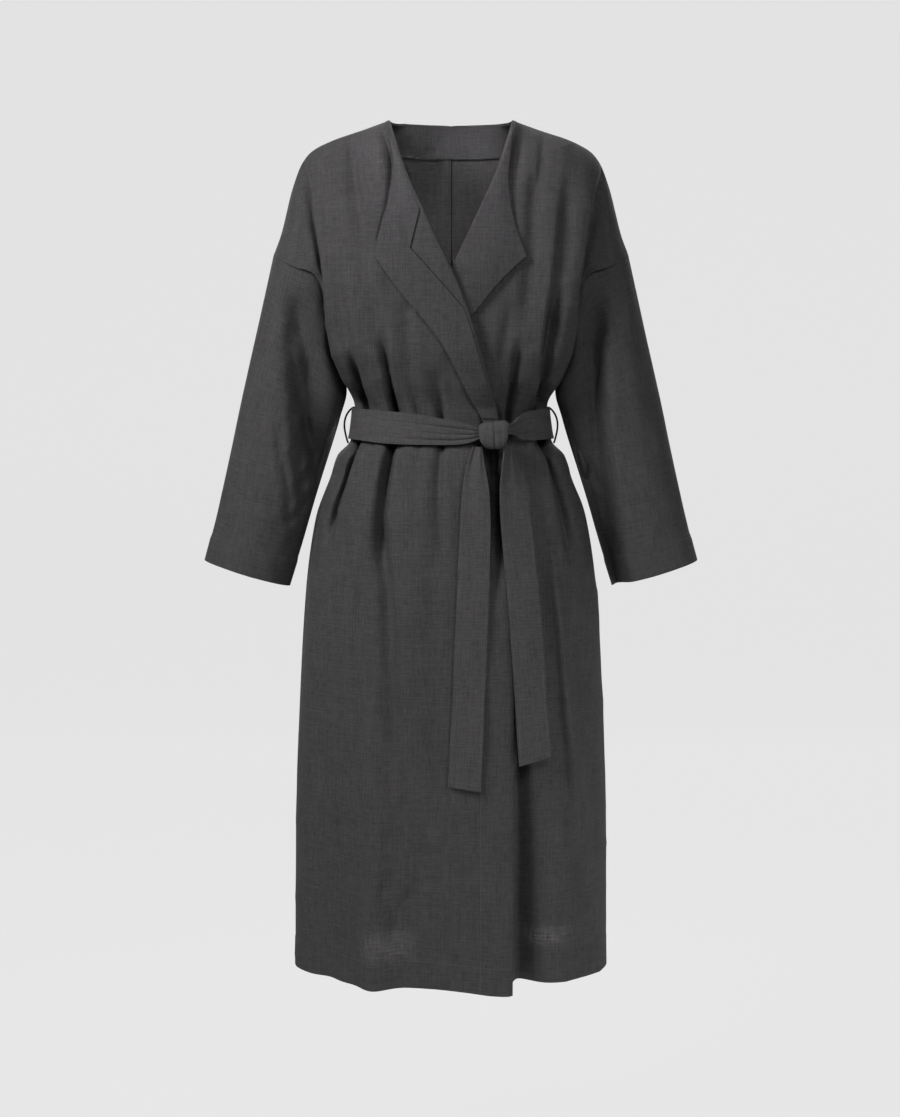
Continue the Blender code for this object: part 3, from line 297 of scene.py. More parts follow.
    "sleeve_left": table(
        CREASE_COLUMNS,
        (0.1830, -0.262, 0.1870, -0.410, 0.2420, -0.700, 0.0230, 0.0190, 0.0270, 0.0460, 0.04, 0.50),
        (0.2310, -0.195, 0.2335, -0.230, 0.2360, -0.290, 0.0060, 0.0080, -0.0020, -0.0014, 0.30, 0.00),
        (0.1900, -0.330, 0.1880, -0.390, 0.1990, -0.460, 0.0070, 0.0100, 0.0046, 0.0046, 0.15, -0.30),
        (0.2160, -0.400, 0.2090, -0.450, 0.2120, -0.520, 0.0070, 0.0090, 0.0020, 0.0016, 0.25, -0.20),
        (0.1810, -0.450, 0.1950, -0.480, 0.2120, -0.492, 0.0045, 0.0055, 0.0034, 0.0012, 0.30, 0.00),
        (0.2660, -0.500, 0.2780, -0.512, 0.2900, -0.530, 0.0042, 0.0055, 0.0014, 0.0005, 0.35, 0.00),
        (0.2480, -0.290, 0.2560, -0.370, 0.2530, -0.450, 0.0110, 0.0130, 0.0024, 0.0020, 0.30, -0.20),
        (0.2380, -0.210, 0.2450, -0.260, 0.2430, -0.320, 0.0100, 0.0120, 0.0024, 0.0012, 0.30, -0.20),
    ),
}
CREASE_RIDGE_PLACE = 2.1
CREASE_FLARE = 0.14
CREASE_FLARE_WIDTH = 1.6
CREASE_FADE = 0.35
CREASE_SQUARE = 0.85
CREASE_START = 0.22
SIDE_FADE = math.radians(11)
SHOULDER_FADE = 0.030

# Crumpling of the linen: height, size across and size along; sharp ridges, which lie aslant; calm at
# the belt; and the seed of each stretch of cloth
CRUMPLE = table(
    "height across along",
    (0.00200, 0.050, 0.170), (0.00130, 0.024, 0.070), (0.00050, 0.012, 0.026),
)
SHARP_CRUMPLE = {"height": 0.0013, "size": (0.055, 0.055), "power": 9, "slant": (0.4, -0.3), "seed": 7}
RIPPLE_LATTICE = 128
BELT_CALM = 0.030
BELT_CALM_SHARE = 0.8
SEEDS = {
    "front": 11, "back": 31, "patches": 51, "sleeve_right": 71, "sleeve_left": 91, "belt": 131, "tails": 151,
}

# Pale rubbed patches above the hem: middle, half sizes and the added crumpling with its size
PATCHES = table(
    "x z half_x half_z", (-0.080, -1.060, 0.034, 0.019), (0.123, -1.054, 0.031, 0.013),
)
PATCH_POWER = 4
PATCH_CRUMPLE = 0.0008
PATCH_RIPPLE = (0.008, 0.006)

# Sleeve, a row for each ring from the armhole to the cuff: ends of the ring, half depth, middle
SLEEVE = table(
    "along outer_x outer_z inner_x inner_z half_depth mid_y",
    (0.00, 0.2326, -0.175, 0.1490, -0.298, 0.058, 0.000),
    (0.12, 0.2435, -0.223, 0.1446, -0.324, 0.062, 0.000),
    (0.24, 0.2545, -0.271, 0.1358, -0.350, 0.064, 0.000),
    (0.45, 0.2735, -0.354, 0.1455, -0.390, 0.063, -0.003),
    (0.73, 0.2973, -0.464, 0.1775, -0.493, 0.058, -0.008),
    (0.87, 0.3108, -0.523, 0.1950, -0.553, 0.052, -0.012),
    (1.00, 0.3243, -0.5745, 0.2120, -0.608, 0.045, -0.016),
)
SLEEVE_FADE = 0.30
SLEEVE_CALM = 0.20
SLEEVE_CREASE_TURN = 2.5
SLEEVE_BACK_SHIFT = 0.012
SLEEVE_CRUMPLE = 1.2
SLEEVE_RADIUS = 0.06
SLEEVE_BACK_TURN = 9.0
SLEEVE_LENGTH = 0.41
UNDERARM_POWER = 4

# Belt: one strap, tied in front to the wearer's left of the centre
BELT_MIDDLE_Z = -0.3945
BELT_WIDTH = 0.042
BELT_LIFT = 0.0036
BELT_FRONT_LIFT = 0.0066
BELT_LAPEL_LIFT = 0.0112
BELT_ON_OVER_FRONT = {"from": (-90.0, -60.0), "to": (35.0, 50.0)}
BELT_ON_LAPEL = {"turn": 20.0, "spread": 16.0, "power": 4}
BELT_RIPPLE = {"height": 0.00035, "radius": 0.12, "size": (0.030, 0.020)}
KNOT_TURN = 24.0
KNOT_CLEAR = 12.0
KNOT_X = 0.054
KNOT_Z = -0.405
KNOT_HALF = (0.0183, 0.0120, 0.0168)
KNOT_LIFT = 0.0262
KNOT_ROUNDING = 0.72
KNOT_EDGE_ROLL = 0.22
KNOT_EDGE_POWER = 6
KNOT_TAPER = {"share": 0.36, "from": 0.4, "over": 1.4}
KNOT_SLANT = 0.0022
KNOT_CREASE_UP = 0.5
KNOT_CREASES = table(
    "across lean width depth",
    (-0.55, 0.10, 0.16, 0.0005), (0.06, -0.05, 0.07, 0.0018), (0.55, -0.16, 0.14, 0.0006),
)
KNOT_PULL = 0.0120
KNOT_PULL_SPREAD = 0.016
KNOT_INSIDE = 0.008

# Edges of the belt beside the knot, by the distance from its middle along the strap
BELT_EDGES = table(
    "away right_top right_low left_top left_low",
    (0.0000, -0.3992, -0.4060, -0.3925, -0.4055), (0.0100, -0.3990, -0.4062, -0.3918, -0.4058),
    (0.0185, -0.3980, -0.4076, -0.3886, -0.4080), (0.0270, -0.3950, -0.4125, -0.3832, -0.4125),
    (0.0370, -0.3910, -0.4165, -0.3790, -0.4138), (0.0560, -0.3850, -0.4192, -0.3755, -0.4143),
    (0.0880, -0.3785, -0.4192, -0.3742, -0.4146), (0.1200, -0.3757, -0.4178, -0.3737, -0.4150),
    (0.1800, -0.3735, -0.4150, -0.3735, -0.4150), (0.4500, -0.3735, -0.4155, -0.3735, -0.4155),
)

# Pleats that run into the knot: share up the strap, width, depth and reach, on the side of each end
PLEATS = {
    "right": table(
        "share width depth reach",
        (0.20, 0.060, 0.0024, 0.105), (-0.06, 0.055, 0.0030, 0.066), (-0.30, 0.060, 0.0034, 0.090),
    ),
    "left": table(
        "share width depth reach",
        (0.24, 0.060, 0.0030, 0.050), (0.02, 0.050, 0.0018, 0.036), (-0.22, 0.060, 0.0032, 0.046),
    ),
}
PLEAT_BALANCE = 0.16

# Belt tails, a row for each height: middle, width and stand off the form; slant of the end, curl and
# pleats of the gathered top, and soft waves below
TAILS = {
    "right": table(
        "z x width lift",
        (-0.855, 0.0170, 0.042, 0.0120), (-0.660, 0.0255, 0.041, 0.0125), (-0.520, 0.0305, 0.039, 0.0130),
        (-0.475, 0.0312, 0.034, 0.0145), (-0.445, 0.0310, 0.024, 0.0175), (-0.4200, 0.0335, 0.012, 0.0200),
    ),
    "left": table(
        "z x width lift",
        (-0.822, 0.1075, 0.041, 0.0125), (-0.660, 0.0960, 0.041, 0.0125), (-0.520, 0.0830, 0.039, 0.0130),
        (-0.475, 0.0785, 0.033, 0.0150), (-0.445, 0.0755, 0.021, 0.0185), (-0.4200, 0.0738, 0.012, 0.0215),
    ),
}
TAIL_SLANT = {"right": -0.0035, "left": 0.0050, "reach": 0.10}
TAIL_CURL = {"right": 0.0060, "left": -0.0075, "reach": 0.06}
TAIL_GATHER = {"depth": 0.0026, "reach": 0.045, "waves": 1.5}
TAIL_WAVE = {"height": 0.0011, "length": 0.028}
TAIL_RIPPLE = {"height": 0.0006, "size": (0.020, 0.045)}

# Thread loops at the side seams
LOOP_RADIUS = 0.0013
LOOP_STAND = 0.0085
LOOP_TOP_Z = -0.3735
LOOP_FOOT_Z = -0.4210
LOOP_BOW = 0.7
LOOP_STEPS = 25
LOOP_ROUNDNESS = 3

# Flat size of the cloth that shows in each sheet, width by length
FLAT = {
    "front": (0.43, 1.16), "back": (0.27, 1.13), "sleeve": (0.37, 0.45),
    "facing_right": (0.06, 0.42), "facing_left": (0.06, 0.28), "back_neck_facing": (0.27, 0.075),
    "belt_band": (BELT_WIDTH, 0.78), "belt_knot": (BELT_WIDTH, 0.100),
}

# Turned hems and facings, which lie double, and stitch lines: distances from the edges and the stitches
HEM_DEPTH = 0.035
CUFF_DEPTH = 0.033
FRONT_FACING = 0.044
BELT_STITCH_SHARES = (-0.43, 0.43)
LAYER_HEIGHT = 0.0010
LAYER_EDGE = 0.0022
HEM_LAYER = (HEM_DOWN - HEM_DEPTH - LAYER_EDGE, HEM_DOWN - HEM_DEPTH + LAYER_EDGE)
FACING_SHOWS = (0.480, 0.560)
STITCH_PITCH = 0.0036
STITCH_LENGTH = 0.0027
STITCH_HALF_WIDTH = 0.00040
STITCH_HEIGHT = 0.00030
STITCH_STAND = STITCH_HEIGHT / 3
STITCH_START = 0.001
STITCH_FACES = ((0, 2, 4), (2, 1, 4), (1, 3, 4), (3, 0, 4), (0, 3, 2), (3, 1, 2))
# Lines of painted seam shade, drawn as dark thread at the centre back seam and along the lapel facing's edge:
# pitch, half widths and the run of the centre line
SEAM_SHADE_PITCH = 0.0012
SEAM_SHADE_HALF_WIDTH = 0.00095
FACING_SEAM_SHADE_HALF_WIDTH = 0.00045
CENTRE_SEAM_SHADE = {"x": 0.0008, "inside_from": 0.014, "outside_from": 0.003, "above_hem": 0.002}
TAIL_HEM = 0.0075
TAIL_LINE = {"below_top": 0.020, "above_end": 0.003}
HEM_LINE = {"from_edge": 0.002, "from_seam": 0.004}
FACING_STITCH = {"from": 0.500, "above_hem": 0.004}
NECK_LINE = {"share": 0.93, "from_row": 4, "outward": (0.0, -1.0, 0.15)}
LINE_STEPS = {"hem": 260, "facing": 320, "centre": 500, "band": 900, "tail": 300, "tail_end": 30}

# Mesh steps
ROW_STEP = 0.0037
LOW_ROW_STEP = 0.0066
FINE_ROWS_END = 0.600
PANEL_COLUMNS = {"front": 176, "back": 112}
LAPEL_SHARES = np.linspace(1.0, 0.06, 26)
ARC_ANGLES = (180, 150, 120, 90, 60, 30)
DENSE_TURNS = 520
CREASE_COLUMNS_SHARE = 0.8
TURN_POWER = 1.6
SLEEVE_RINGS = np.linspace(0.0, 1.0, 112)
FACING_SHARES = np.linspace(1.0, 0.0, 16)
NECK_FACING_SHARES = np.linspace(0.01, 1.0, 15)
BELT_STEPS = 400
STRAP_SHARES = np.linspace(-0.5, 0.5, 41)
TAIL_SHARES = np.linspace(-0.5, 0.5, 25)
TAIL_STEPS = 130
KNOT_STEPS = (64, 27)
STATION_STEPS = 1001
WALL_SHARP = 50

# Linear colours
LINEN = (0.066, 0.0635, 0.0655)
# The belt's linen is the jacket's linen made a little paler: painted light that brightens the belt, knot and
# tails
BELT_LINEN_PAINTED_PALER = (0.0748, 0.0720, 0.0742)
FACING_LINEN = (0.066, 0.0635, 0.0660)
THREAD = (0.135, 0.131, 0.135)
# Near-black thread of the belt loops, also used for the lines of painted seam shade at the centre back and
# along the lapel facing
LOOP_THREAD_AND_SEAM_SHADE = (0.020, 0.020, 0.021)

# Linen: streaks across and along the weave with their weights, range of the sum and tints at its ends
WEAVE_THREADS = table(
    "across along weight",
    (1150.0, 80.0, 0.80), (80.0, 1150.0, 0.80), (430.0, 17.0, 0.46), (17.0, 430.0, 0.46), (60.0, 24.0, 0.26),
)
RUBBED_THREADS = table("across along weight", (300.0, 60.0, 0.9), (40.0, 420.0, 1.1))
THREAD_NOISE = {"Scale": 1.0, "Detail": 2.0, "Roughness": 0.55}
WEAVE_RANGE = (-0.75, 0.75)
RUBBED_RANGE = (-0.30, 0.45)
DARK_THREAD = 0.42
PALE_THREAD = 1.58
RUBBED_THREAD = 2.2
WEAVE_BUMP = {"Strength": 0.45, "Distance": 0.0005}
LINEN_ROUGHNESS = 0.92
LINEN_SPECULAR = 0.04
PLAIN_ROUGHNESS = 0.9
PLAIN_SPECULAR = 0.1

# Sockets of a colour mix node: the share, both colours and the result
MIX_SHARE, MIX_FROM, MIX_TO, MIX_RESULT = 0, 6, 7, 2

# Stage, sky and lights: each light's place, what it points at, size, power and spread in degrees
STAGE = {
    "floor_z": -1.42, "front_y": -0.9, "bend_y": 3.4, "radius": 0.8, "bend_points": 13, "top_z": 3.0,
    "half_width": 4.5, "grey": 0.03, "glow": 0.755,
}
SKY = {"colour": (0.80, 0.80, 0.81), "strength": 0.06}
LIGHTS = {
    "key": ((-1.36, -1.24, 0.85), (0.0, 0.0, -0.18), 0.75, 16.7, 120.0),
    "fill": ((0.55, -2.0, 0.65), (0.0, 0.0, -0.30), 0.9, 15.6, 180.0),
    "neck": ((-0.22, -0.75, 0.68), (0.025, 0.08, -0.12), 0.12, 0.085, 16.0),
    "low": ((1.5, -0.9, -0.9), (0.15, 0.0, -0.95), 0.5, 0.60, 50.0),
    "back": ((0.5, 2.2, 2.4), (0.0, 0.0, -0.50), 1.8, 40.0, 180.0),
    "behind": ((1.0, 2.0, 0.9), (0.0, 0.0, -0.45), 0.9, 16.0, 120.0),
    "rim": ((-0.9, 2.0, 0.1), (0.0, 0.0, -0.55), 0.9, 9.0, 120.0),
}

# Camera: place, tilt down in degrees, and the picture's height and focal length in pixels
CAMERA = {
    "place": (-0.0013, -3.2, -0.272), "tilt": 5.4006, "picture_height_px": 1117, "focal_length_px": 2417,
}

SIDES = {"right": -1.0, "left": 1.0}
MIRROR = {side: np.array([sign, 1.0, 1.0]) for side, sign in SIDES.items()}
OUTWARD = {"front": np.array([0.0, -1.0, 0.0]), "back": np.array([0.0, 1.0, 0.0])}
RIGHT_ANGLE = math.pi / 2
STEP = 1e-4
TINY = 1e-12


def ease(share):
    """Soft step from 0 to 1."""
    share = np.clip(share, 0.0, 1.0)
    return share * share * (3.0 - 2.0 * share)


def ramp(value, start, end):
    """Soft step from 0 at the start to 1 at the end."""
    return ease((value - start) / (end - start))


def between(start, end, share):
    """Value that lies this share of the way from start to end."""
    return start + (end - start) * share


def bell(offset):
    """Soft hump, 1 high at offset 0."""
    return np.exp(-offset ** 2)


def unit(vectors):
    """Vectors brought to length 1."""
    return vectors / np.linalg.norm(vectors, axis=-1, keepdims=True)


def arc_lengths(lines):
    """Distance run along each line of points."""
    steps = np.linalg.norm(np.diff(lines, axis=-2), axis=-1)
    return np.concatenate([np.zeros((*steps.shape[:-1], 1)), np.cumsum(steps, axis=-1)], axis=-1)


def smooth_curve(places, values, flat_start=False):
    """Return a function that runs smoothly through the values without overshoot."""
    step = np.diff(places)
    rise = np.diff(values) / step
    slope = np.zeros(len(values))
    same_way = rise[:-1] * rise[1:] > 0
    near = 2.0 * step[1:] + step[:-1]
    far = step[1:] + 2.0 * step[:-1]
    safe = np.where(same_way, rise[:-1], 1.0), np.where(same_way, rise[1:], 1.0)
    slope[1:-1] = np.where(same_way, (near + far) / (near / safe[0] + far / safe[1]), 0.0)
    slope[0] = 0.0 if flat_start else rise[0]
    slope[-1] = rise[-1]

    def curve(place):
        place = np.clip(place, places[0], places[-1])
        left = np.clip(np.searchsorted(places, place, side="right") - 1, 0, len(step) - 1)
        share = (place - places[left]) / step[left]
        rest = 1.0 - share
        return (values[left] * (1 + 2 * share) * rest ** 2 + values[left + 1] * (3 - 2 * share) * share ** 2
                + step[left] * share * rest * (slope[left] * rest - slope[left + 1] * share))

    return curve


def curves(sizes, along, flat_start=False, steady=()):
    """Smooth curve of each column of a table along one of its columns."""
    return {name: smooth_curve(sizes[along], sizes[name], flat_start and name not in steady)
            for name in sizes if name != along}


FORM = curves(SECTIONS, "down", flat_start=True, steady=("arm", "front", "back"))
ARM_FOLD_FORM = curves(ARM_FOLD, "down")
SLEEVE_FORM = curves(SLEEVE, "along")
BELT_EDGE_FORM = curves(BELT_EDGES, "away", flat_start=True)
TAIL_FORM = {side: curves(TAILS[side], "z") for side in SIDES}
SHOULDER_DROP = smooth_curve(SHOULDER["out"], SHOULDER["drop"])
EDGE_X = smooth_curve(FRONT_EDGE["z"], FRONT_EDGE["x"])
NECK_FACING_LOW = smooth_curve(NECK_FACING["x"], NECK_FACING["z"])


def inner_edge(face, down):
    """Place of the panel's inner edge: the roll line in front, the neck edge or centre back behind."""
    if face == "front":
        height = FORM["front_z"](down)
        return EDGE_X(height), height
    return FORM["neck_x"](down), FORM["back_z"](down)


def turn_at(face, down, across):
    """Turn at which the form lies this far across from the centre."""
    reach = FORM["side_x"](down) + FORM["pinch"](down)
    share = np.clip(np.abs(across) / reach, 0.0, 1.0)
    return np.sign(across) * np.arcsin(share ** (FORM[face + "_square"](down) / 2.0))


def down_at(height):
    """Station below the underarm that lies at this height."""
    return np.interp(-height, -SECTIONS["side_z"], SECTIONS["down"])


def form_point(face, down, turn):
    """Point of the shared form, with x measured out towards the panel's own side."""
    down, turn = np.broadcast_arrays(np.asarray(down, float), np.asarray(turn, float))
    power = 2.0 / FORM[face + "_square"](down)
    sine = np.abs(np.sin(turn))
    cosine = np.abs(np.cos(turn))
    side_x, pinch, arm = FORM["side_x"](down), FORM["pinch"](down), FORM["arm"](down)
    if face == "front":
        arm_part = ramp(turn, *ARM_PART["turn"]) * ramp(down, *ARM_PART["begins"])
        arm_part = arm_part * (1.0 - ramp(down, *ARM_PART["ends"]))
        cosine = cosine * (1.0 - ARM_PART["share"] * arm_part)
    across = np.sign(turn) * (side_x + pinch) * sine ** power - pinch * sine ** PINCH_POWER
    depth = between(arm, FORM[face](down), cosine ** power)
    edge_x, edge_z = inner_edge(face, down)
    share = np.clip((across - edge_x) / (side_x - edge_x), 0.0, 1.0)
    bend = between(SHOULDER_DROP(share), share, ease(down / UNDERARM_DOWN))
    height = between(edge_z, FORM["side_z"](down), bend)
    if face == "back":
        near_neck = 1.0 - ramp(np.abs(across), *BACK_NECK["across"])
        near_neck = near_neck * (1.0 - ramp(-height, *BACK_NECK["below"]))
        smooth = BACK_NECK["depth"] - BACK_NECK["slope"] * height - BACK_NECK["round"] * across ** 2
        depth = between(depth, smooth, near_neck)
    return np.stack([across, OUTWARD[face][1] * depth, height], axis=-1)


def form_normal(face, down, turn):
    """Outward direction of the shared form."""
    along = form_point(face, down + STEP, turn) - form_point(face, np.maximum(down - STEP, 0.0), turn)
    around = (form_point(face, down, np.minimum(turn + STEP, RIGHT_ANGLE))
              - form_point(face, down, turn - STEP))
    return unit(np.cross(along, around) if face == "front" else np.cross(around, along))


def fold_depth(face, side, down, turn, height):
    """Height of the large gathers above the plain form, negative in a trough."""
    reach = 0.5 * (FORM["side_x"](down) + FORM[face](down))
    degrees = np.degrees(turn)
    around = SIDES[side] * (degrees if face == "front" else 180.0 - degrees)
    total = np.zeros_like(height)
    for fold in rows_of(FOLDS):
        share = (height - fold["z"]) / (fold["far_z"] - fold["z"])
        inside = np.clip(share, 0.0, 1.0)
        place = between(fold["turn"], fold["far_turn"], inside)
        width = between(fold["width"], fold["far_width"], inside)
        offset = np.radians(around - place) * reach / width
        length = np.where(share < 0.0, ease(1.0 + FOLD_END * share), 1.0 - ease(share))
        ridge = FOLD_RIDGE * ease(FOLD_RIDGE_START * share)
        shape = ridge * bell(np.abs(offset) - FOLD_RIDGE_PLACE) - bell(offset)
        total += FOLD_SHARE * fold["depth"] * length * shape
    return total


def arm_fold_depth(down, across):
    """Depth of the fold that runs down between chest and arm."""
    offset = (across - ARM_FOLD_FORM["across"](down)) / ARM_FOLD_FORM["width"](down)
    return -ARM_FOLD_FORM["depth"](down) * bell(offset)


def lap_lift(side, down, across):
    """How far a front stands off the shared form where the two fronts overlap."""
    near = 1.0 - ramp(across, *LAP_ACROSS)
    press = 1.0 - BELT_PRESS * bell((down - WAIST_DOWN) / BELT_PRESS_SPAN)
    return LAP_LIFT[side] * near * ramp(down, *LAP_DOWN) * press


def hem_drop(side, down, across):
    """How much lower a front hangs towards its free edge."""
    low = ramp(down, HEM_DROP_START, HEM_DOWN)
    near = 1.0 - ease((across - inner_edge("front", down)[0]) / HEM_DROP_REACH)
    return HEM_DROP[side] * low * near


def crease_height(creases, x, z):
    """Height of the listed creases at places seen from the front or the back."""
    total = np.zeros_like(x)
    for crease in rows_of(creases):
        run = np.array([crease["far_x"] - crease["x"], crease["far_z"] - crease["z"]])
        length = np.linalg.norm(run)
        run /= length

        def place(at_x, at_z):
            from_x, from_z = at_x - crease["x"], at_z - crease["z"]
            return (from_x * run[0] + from_z * run[1]) / length, from_z * run[0] - from_x * run[1]

        along, aside = place(x, z)
        middle, bow = place(crease["mid_x"], crease["mid_z"])
        share = np.clip(along, 0.0, 1.0)
        aside = aside - bow * share * (1.0 - share) / (middle * (1.0 - middle))
        width = between(crease["width"], crease["far_width"], share)
        width = width * (1.0 + crease["lean"] * np.sign(run[1]) * np.tanh(aside / width))
        depth = between(crease["depth"], crease["far_depth"], share)
        window = ease(1.0 + along / CREASE_START) * (1.0 - ramp(along, 1.0 - CREASE_FADE, 1.0))
        offset = np.abs(aside) / width
        core = between(bell(offset), np.exp(-offset / CREASE_FLARE_WIDTH), CREASE_FLARE)
        ridge = crease["ridge"] * ease(FOLD_RIDGE_START * along)
        total -= depth * window * (core - ridge * bell(offset - CREASE_RIDGE_PLACE))
    return total


def ripple(x, z, size, seed):
    """Smooth random heights between -1 and 1, of this size across and along."""
    lattice = np.random.default_rng(seed).uniform(-1.0, 1.0, (RIPPLE_LATTICE, RIPPLE_LATTICE))
    u, v = x / size[0], z / size[1]
    left, low = np.floor(u).astype(int), np.floor(v).astype(int)
    right, up = ease(u - left), ease(v - low)
    columns = [(left + step) % RIPPLE_LATTICE for step in (0, 1)]
    bottom, top = [between(lattice[columns[0], row], lattice[columns[1], row], right)
                   for row in (low % RIPPLE_LATTICE, (low + 1) % RIPPLE_LATTICE)]
    return between(bottom, top, up)


def crumple(x, z, seed):
    """Fine unevenness of pressed and worn linen."""
    total = np.zeros_like(x)
    for row, waves in enumerate(rows_of(CRUMPLE)):
        total += waves["height"] * ripple(x, z, (waves["across"], waves["along"]), seed + row)
    slant_x, slant_z = SHARP_CRUMPLE["slant"]
    ridges = ripple(x + slant_x * z, z + slant_z * x, SHARP_CRUMPLE["size"], seed + SHARP_CRUMPLE["seed"])
    return total + SHARP_CRUMPLE["height"] * (1.0 - np.abs(ridges)) ** SHARP_CRUMPLE["power"]


def patch_share(x, z):
    """How strongly the rubbed patches above the hem show."""
    total = np.zeros_like(x)
    for patch in rows_of(PATCHES):
        away_x, away_z = (x - patch["x"]) / patch["half_x"], (z - patch["z"]) / patch["half_z"]
        total += np.exp(-(away_x ** PATCH_POWER + away_z ** PATCH_POWER))
    return total


def detail_shift(face, side, down, turn, point, normal):
    """Shift of a panel's points by creases and crumpling, none at its side and shoulder seams."""
    x, z = SIDES[side] * point[..., 0], point[..., 2]
    calm = ease((RIGHT_ANGLE - turn) / SIDE_FADE) * ease(down / SHOULDER_FADE)
    fine = crumple(x, z, SEEDS[face]) * (1.0 - BELT_CALM_SHARE * bell((z - BELT_MIDDLE_Z) / BELT_CALM))
    layers = ramp(down, *HEM_LAYER)
    if face == "front":
        from_edge = point[..., 0] - inner_edge("front", down)[0]
        facing = 1.0 - ramp(from_edge, FRONT_FACING - LAYER_EDGE, FRONT_FACING + LAYER_EDGE)
        layers = np.maximum(layers, facing * ramp(down, *FACING_SHOWS))
        fine = fine + PATCH_CRUMPLE * patch_share(x, z) * ripple(x, z, PATCH_RIPPLE, SEEDS["patches"])
    fine = fine + LAYER_HEIGHT * layers
    crease = crease_height(CREASES[face], x, z)
    outward = between(normal, OUTWARD[face], CREASE_SQUARE)
    return (calm * crease)[..., None] * outward + (calm * fine)[..., None] * normal


def cloth_point(face, side, down, turn, lift=0.0, detail=1.0):
    """Point of a panel in the world, lifted outwards from the middle of its cloth."""
    down, turn = np.broadcast_arrays(np.asarray(down, float), np.asarray(turn, float))
    point = form_point(face, down, turn)
    normal = form_normal(face, down, turn)
    height = lift + fold_depth(face, side, down, turn, point[..., 2])
    shift = detail * detail_shift(face, side, down, turn, point, normal) if detail else 0.0
    if face == "front":
        height = height + lap_lift(side, down, point[..., 0]) + arm_fold_depth(down, point[..., 0])
    point = point + normal * height[..., None] + shift
    if face == "front":
        point[..., 2] -= hem_drop(side, down, point[..., 0])
    return point * MIRROR[side]


def station_of(face, across, height):
    """Station down a panel at which the form passes through this place, seen from the front."""
    downs = np.linspace(0.0, UPPER_END, STATION_STEPS)
    heights = form_point(face, downs, turn_at(face, downs, across))[:, 2]
    return np.interp(-height, -heights, downs)


def outline_stations(outline):
    """Stations down the front at which the points of an outline lie."""
    return np.array([station_of("front", x, z) for x, z in zip(outline["x"], outline["z"])])


def outline_across(outline, corner):
    """Return how far across an outline lies at each station, with one sharp corner."""
    downs = outline_stations(outline)
    upper = smooth_curve(downs[:corner + 1], outline["x"][:corner + 1])
    lower = smooth_curve(downs[corner:], outline["x"][corner:])
    return lambda down: np.where(down < downs[corner], upper(down), lower(down))


LAPEL_EDGE = {side: outline_across(LAPELS[side], LAPEL_TIP) for side in SIDES}
FACING_DOWNS = outline_stations(FACING_LINE)
TIP_DOWNS = [outline_stations(LAPELS[side])[LAPEL_TIP] for side in SIDES]


def stations():
    """Stations of the fine rows, with rows at every corner of the cut."""
    stops = sorted({0.0, *FACING_DOWNS, *TIP_DOWNS, BACK_NECK_DOWN, UNDERARM_DOWN, FINE_ROWS_END,
                    *HEM_LAYER, HEM_DOWN})
    rows = [0.0]
    for start, end in zip(stops, stops[1:]):
        step = ROW_STEP if start < FINE_ROWS_END else LOW_ROW_STEP
        steps = max(1, round((end - start) / step))
        rows += list(np.linspace(start, end, steps + 1)[1:])
    return np.array(rows)


ROWS = stations()
ARMHOLE_ROWS = int(np.argmin(np.abs(ROWS - UNDERARM_DOWN))) + 1
FACING_ROWS = {side: ROWS[ROWS <= LAPEL_END[side] - FACING_SHORT] for side in SIDES}


def roll_radius(down):
    """Radius of the soft fold at the roll line, small at the shoulder seam."""
    return ROLL_RADIUS * between(ROLL_AT_SHOULDER, 1.0, ease(down / ROLL_OPENS))


def lapel_point(side, down, share, lift=0.0):
    """Point of the turned-out lapel, from just past the roll (share 0) to its edge (share 1)."""
    radius = roll_radius(down)
    start = inner_edge("front", down)[0] + radius
    width = LAPEL_EDGE[side](down) - start
    swell = LAPEL_SWELL * np.sin(np.pi * share) * np.clip(width / FACING_WIDTH, 0.0, 1.0)
    rest = 2.0 * radius + (LAPEL_EDGE_LIFT - 2.0 * ROLL_RADIUS) * share * radius / ROLL_RADIUS + swell
    off_seam = between(SHOULDER_LIFT, 1.0, ease(down / SHOULDER_LIFT_END))
    turn = turn_at("front", down, start + width * share)
    return cloth_point("front", side, down, turn, (rest + lift) * off_seam, detail=0.0)


def roll_point(side, down, angle):
    """Point of the soft fold between lapel and front, with creases only towards the front."""
    radius = roll_radius(down)
    out = inner_edge("front", down)[0] + radius * (1.0 - math.sin(angle))
    lift = radius * (1.0 - math.cos(angle))
    return cloth_point("front", side, down, turn_at("front", down, out), lift, (1.0 + math.cos(angle)) / 2)


def grid_faces(first, rows, columns):
    """Quads of a grid whose points start at this index."""
    corner = first + np.arange(rows - 1)[:, None] * columns + np.arange(columns - 1)
    corner = corner.ravel()
    return np.stack([corner, corner + columns, corner + columns + 1, corner + 1], axis=-1)


def ring_faces(rows, columns):
    """Quads of a tube of rings."""
    here = (np.arange(rows - 1)[:, None] * columns + np.arange(columns)).ravel()
    beside = (np.arange(rows - 1)[:, None] * columns + (np.arange(columns) + 1) % columns).ravel()
    return np.stack([here, beside, beside + columns, here + columns], axis=-1)


def ring_weave(around, along):
    """Weave places at the corners of a tube's quads, with the tube cut open along one line."""
    grid = np.stack(np.broadcast_arrays(around, along), axis=-1)
    corners = [grid[:-1, :-1], grid[:-1, 1:], grid[1:, 1:], grid[1:, :-1]]
    return np.stack(corners, axis=2).reshape(-1, 4, 2)


def point_normals(points, faces):
    """Area-weighted outward directions at the points of a sheet."""
    across = points[faces[:, 2]] - points[faces[:, 0]]
    along = points[faces[:, 3]] - points[faces[:, 1]]
    face_normals = np.cross(across, along)
    normals = np.zeros_like(points)
    for corner in range(4):
        np.add.at(normals, faces[:, corner], face_normals)
    return normals / np.maximum(np.linalg.norm(normals, axis=1, keepdims=True), TINY)


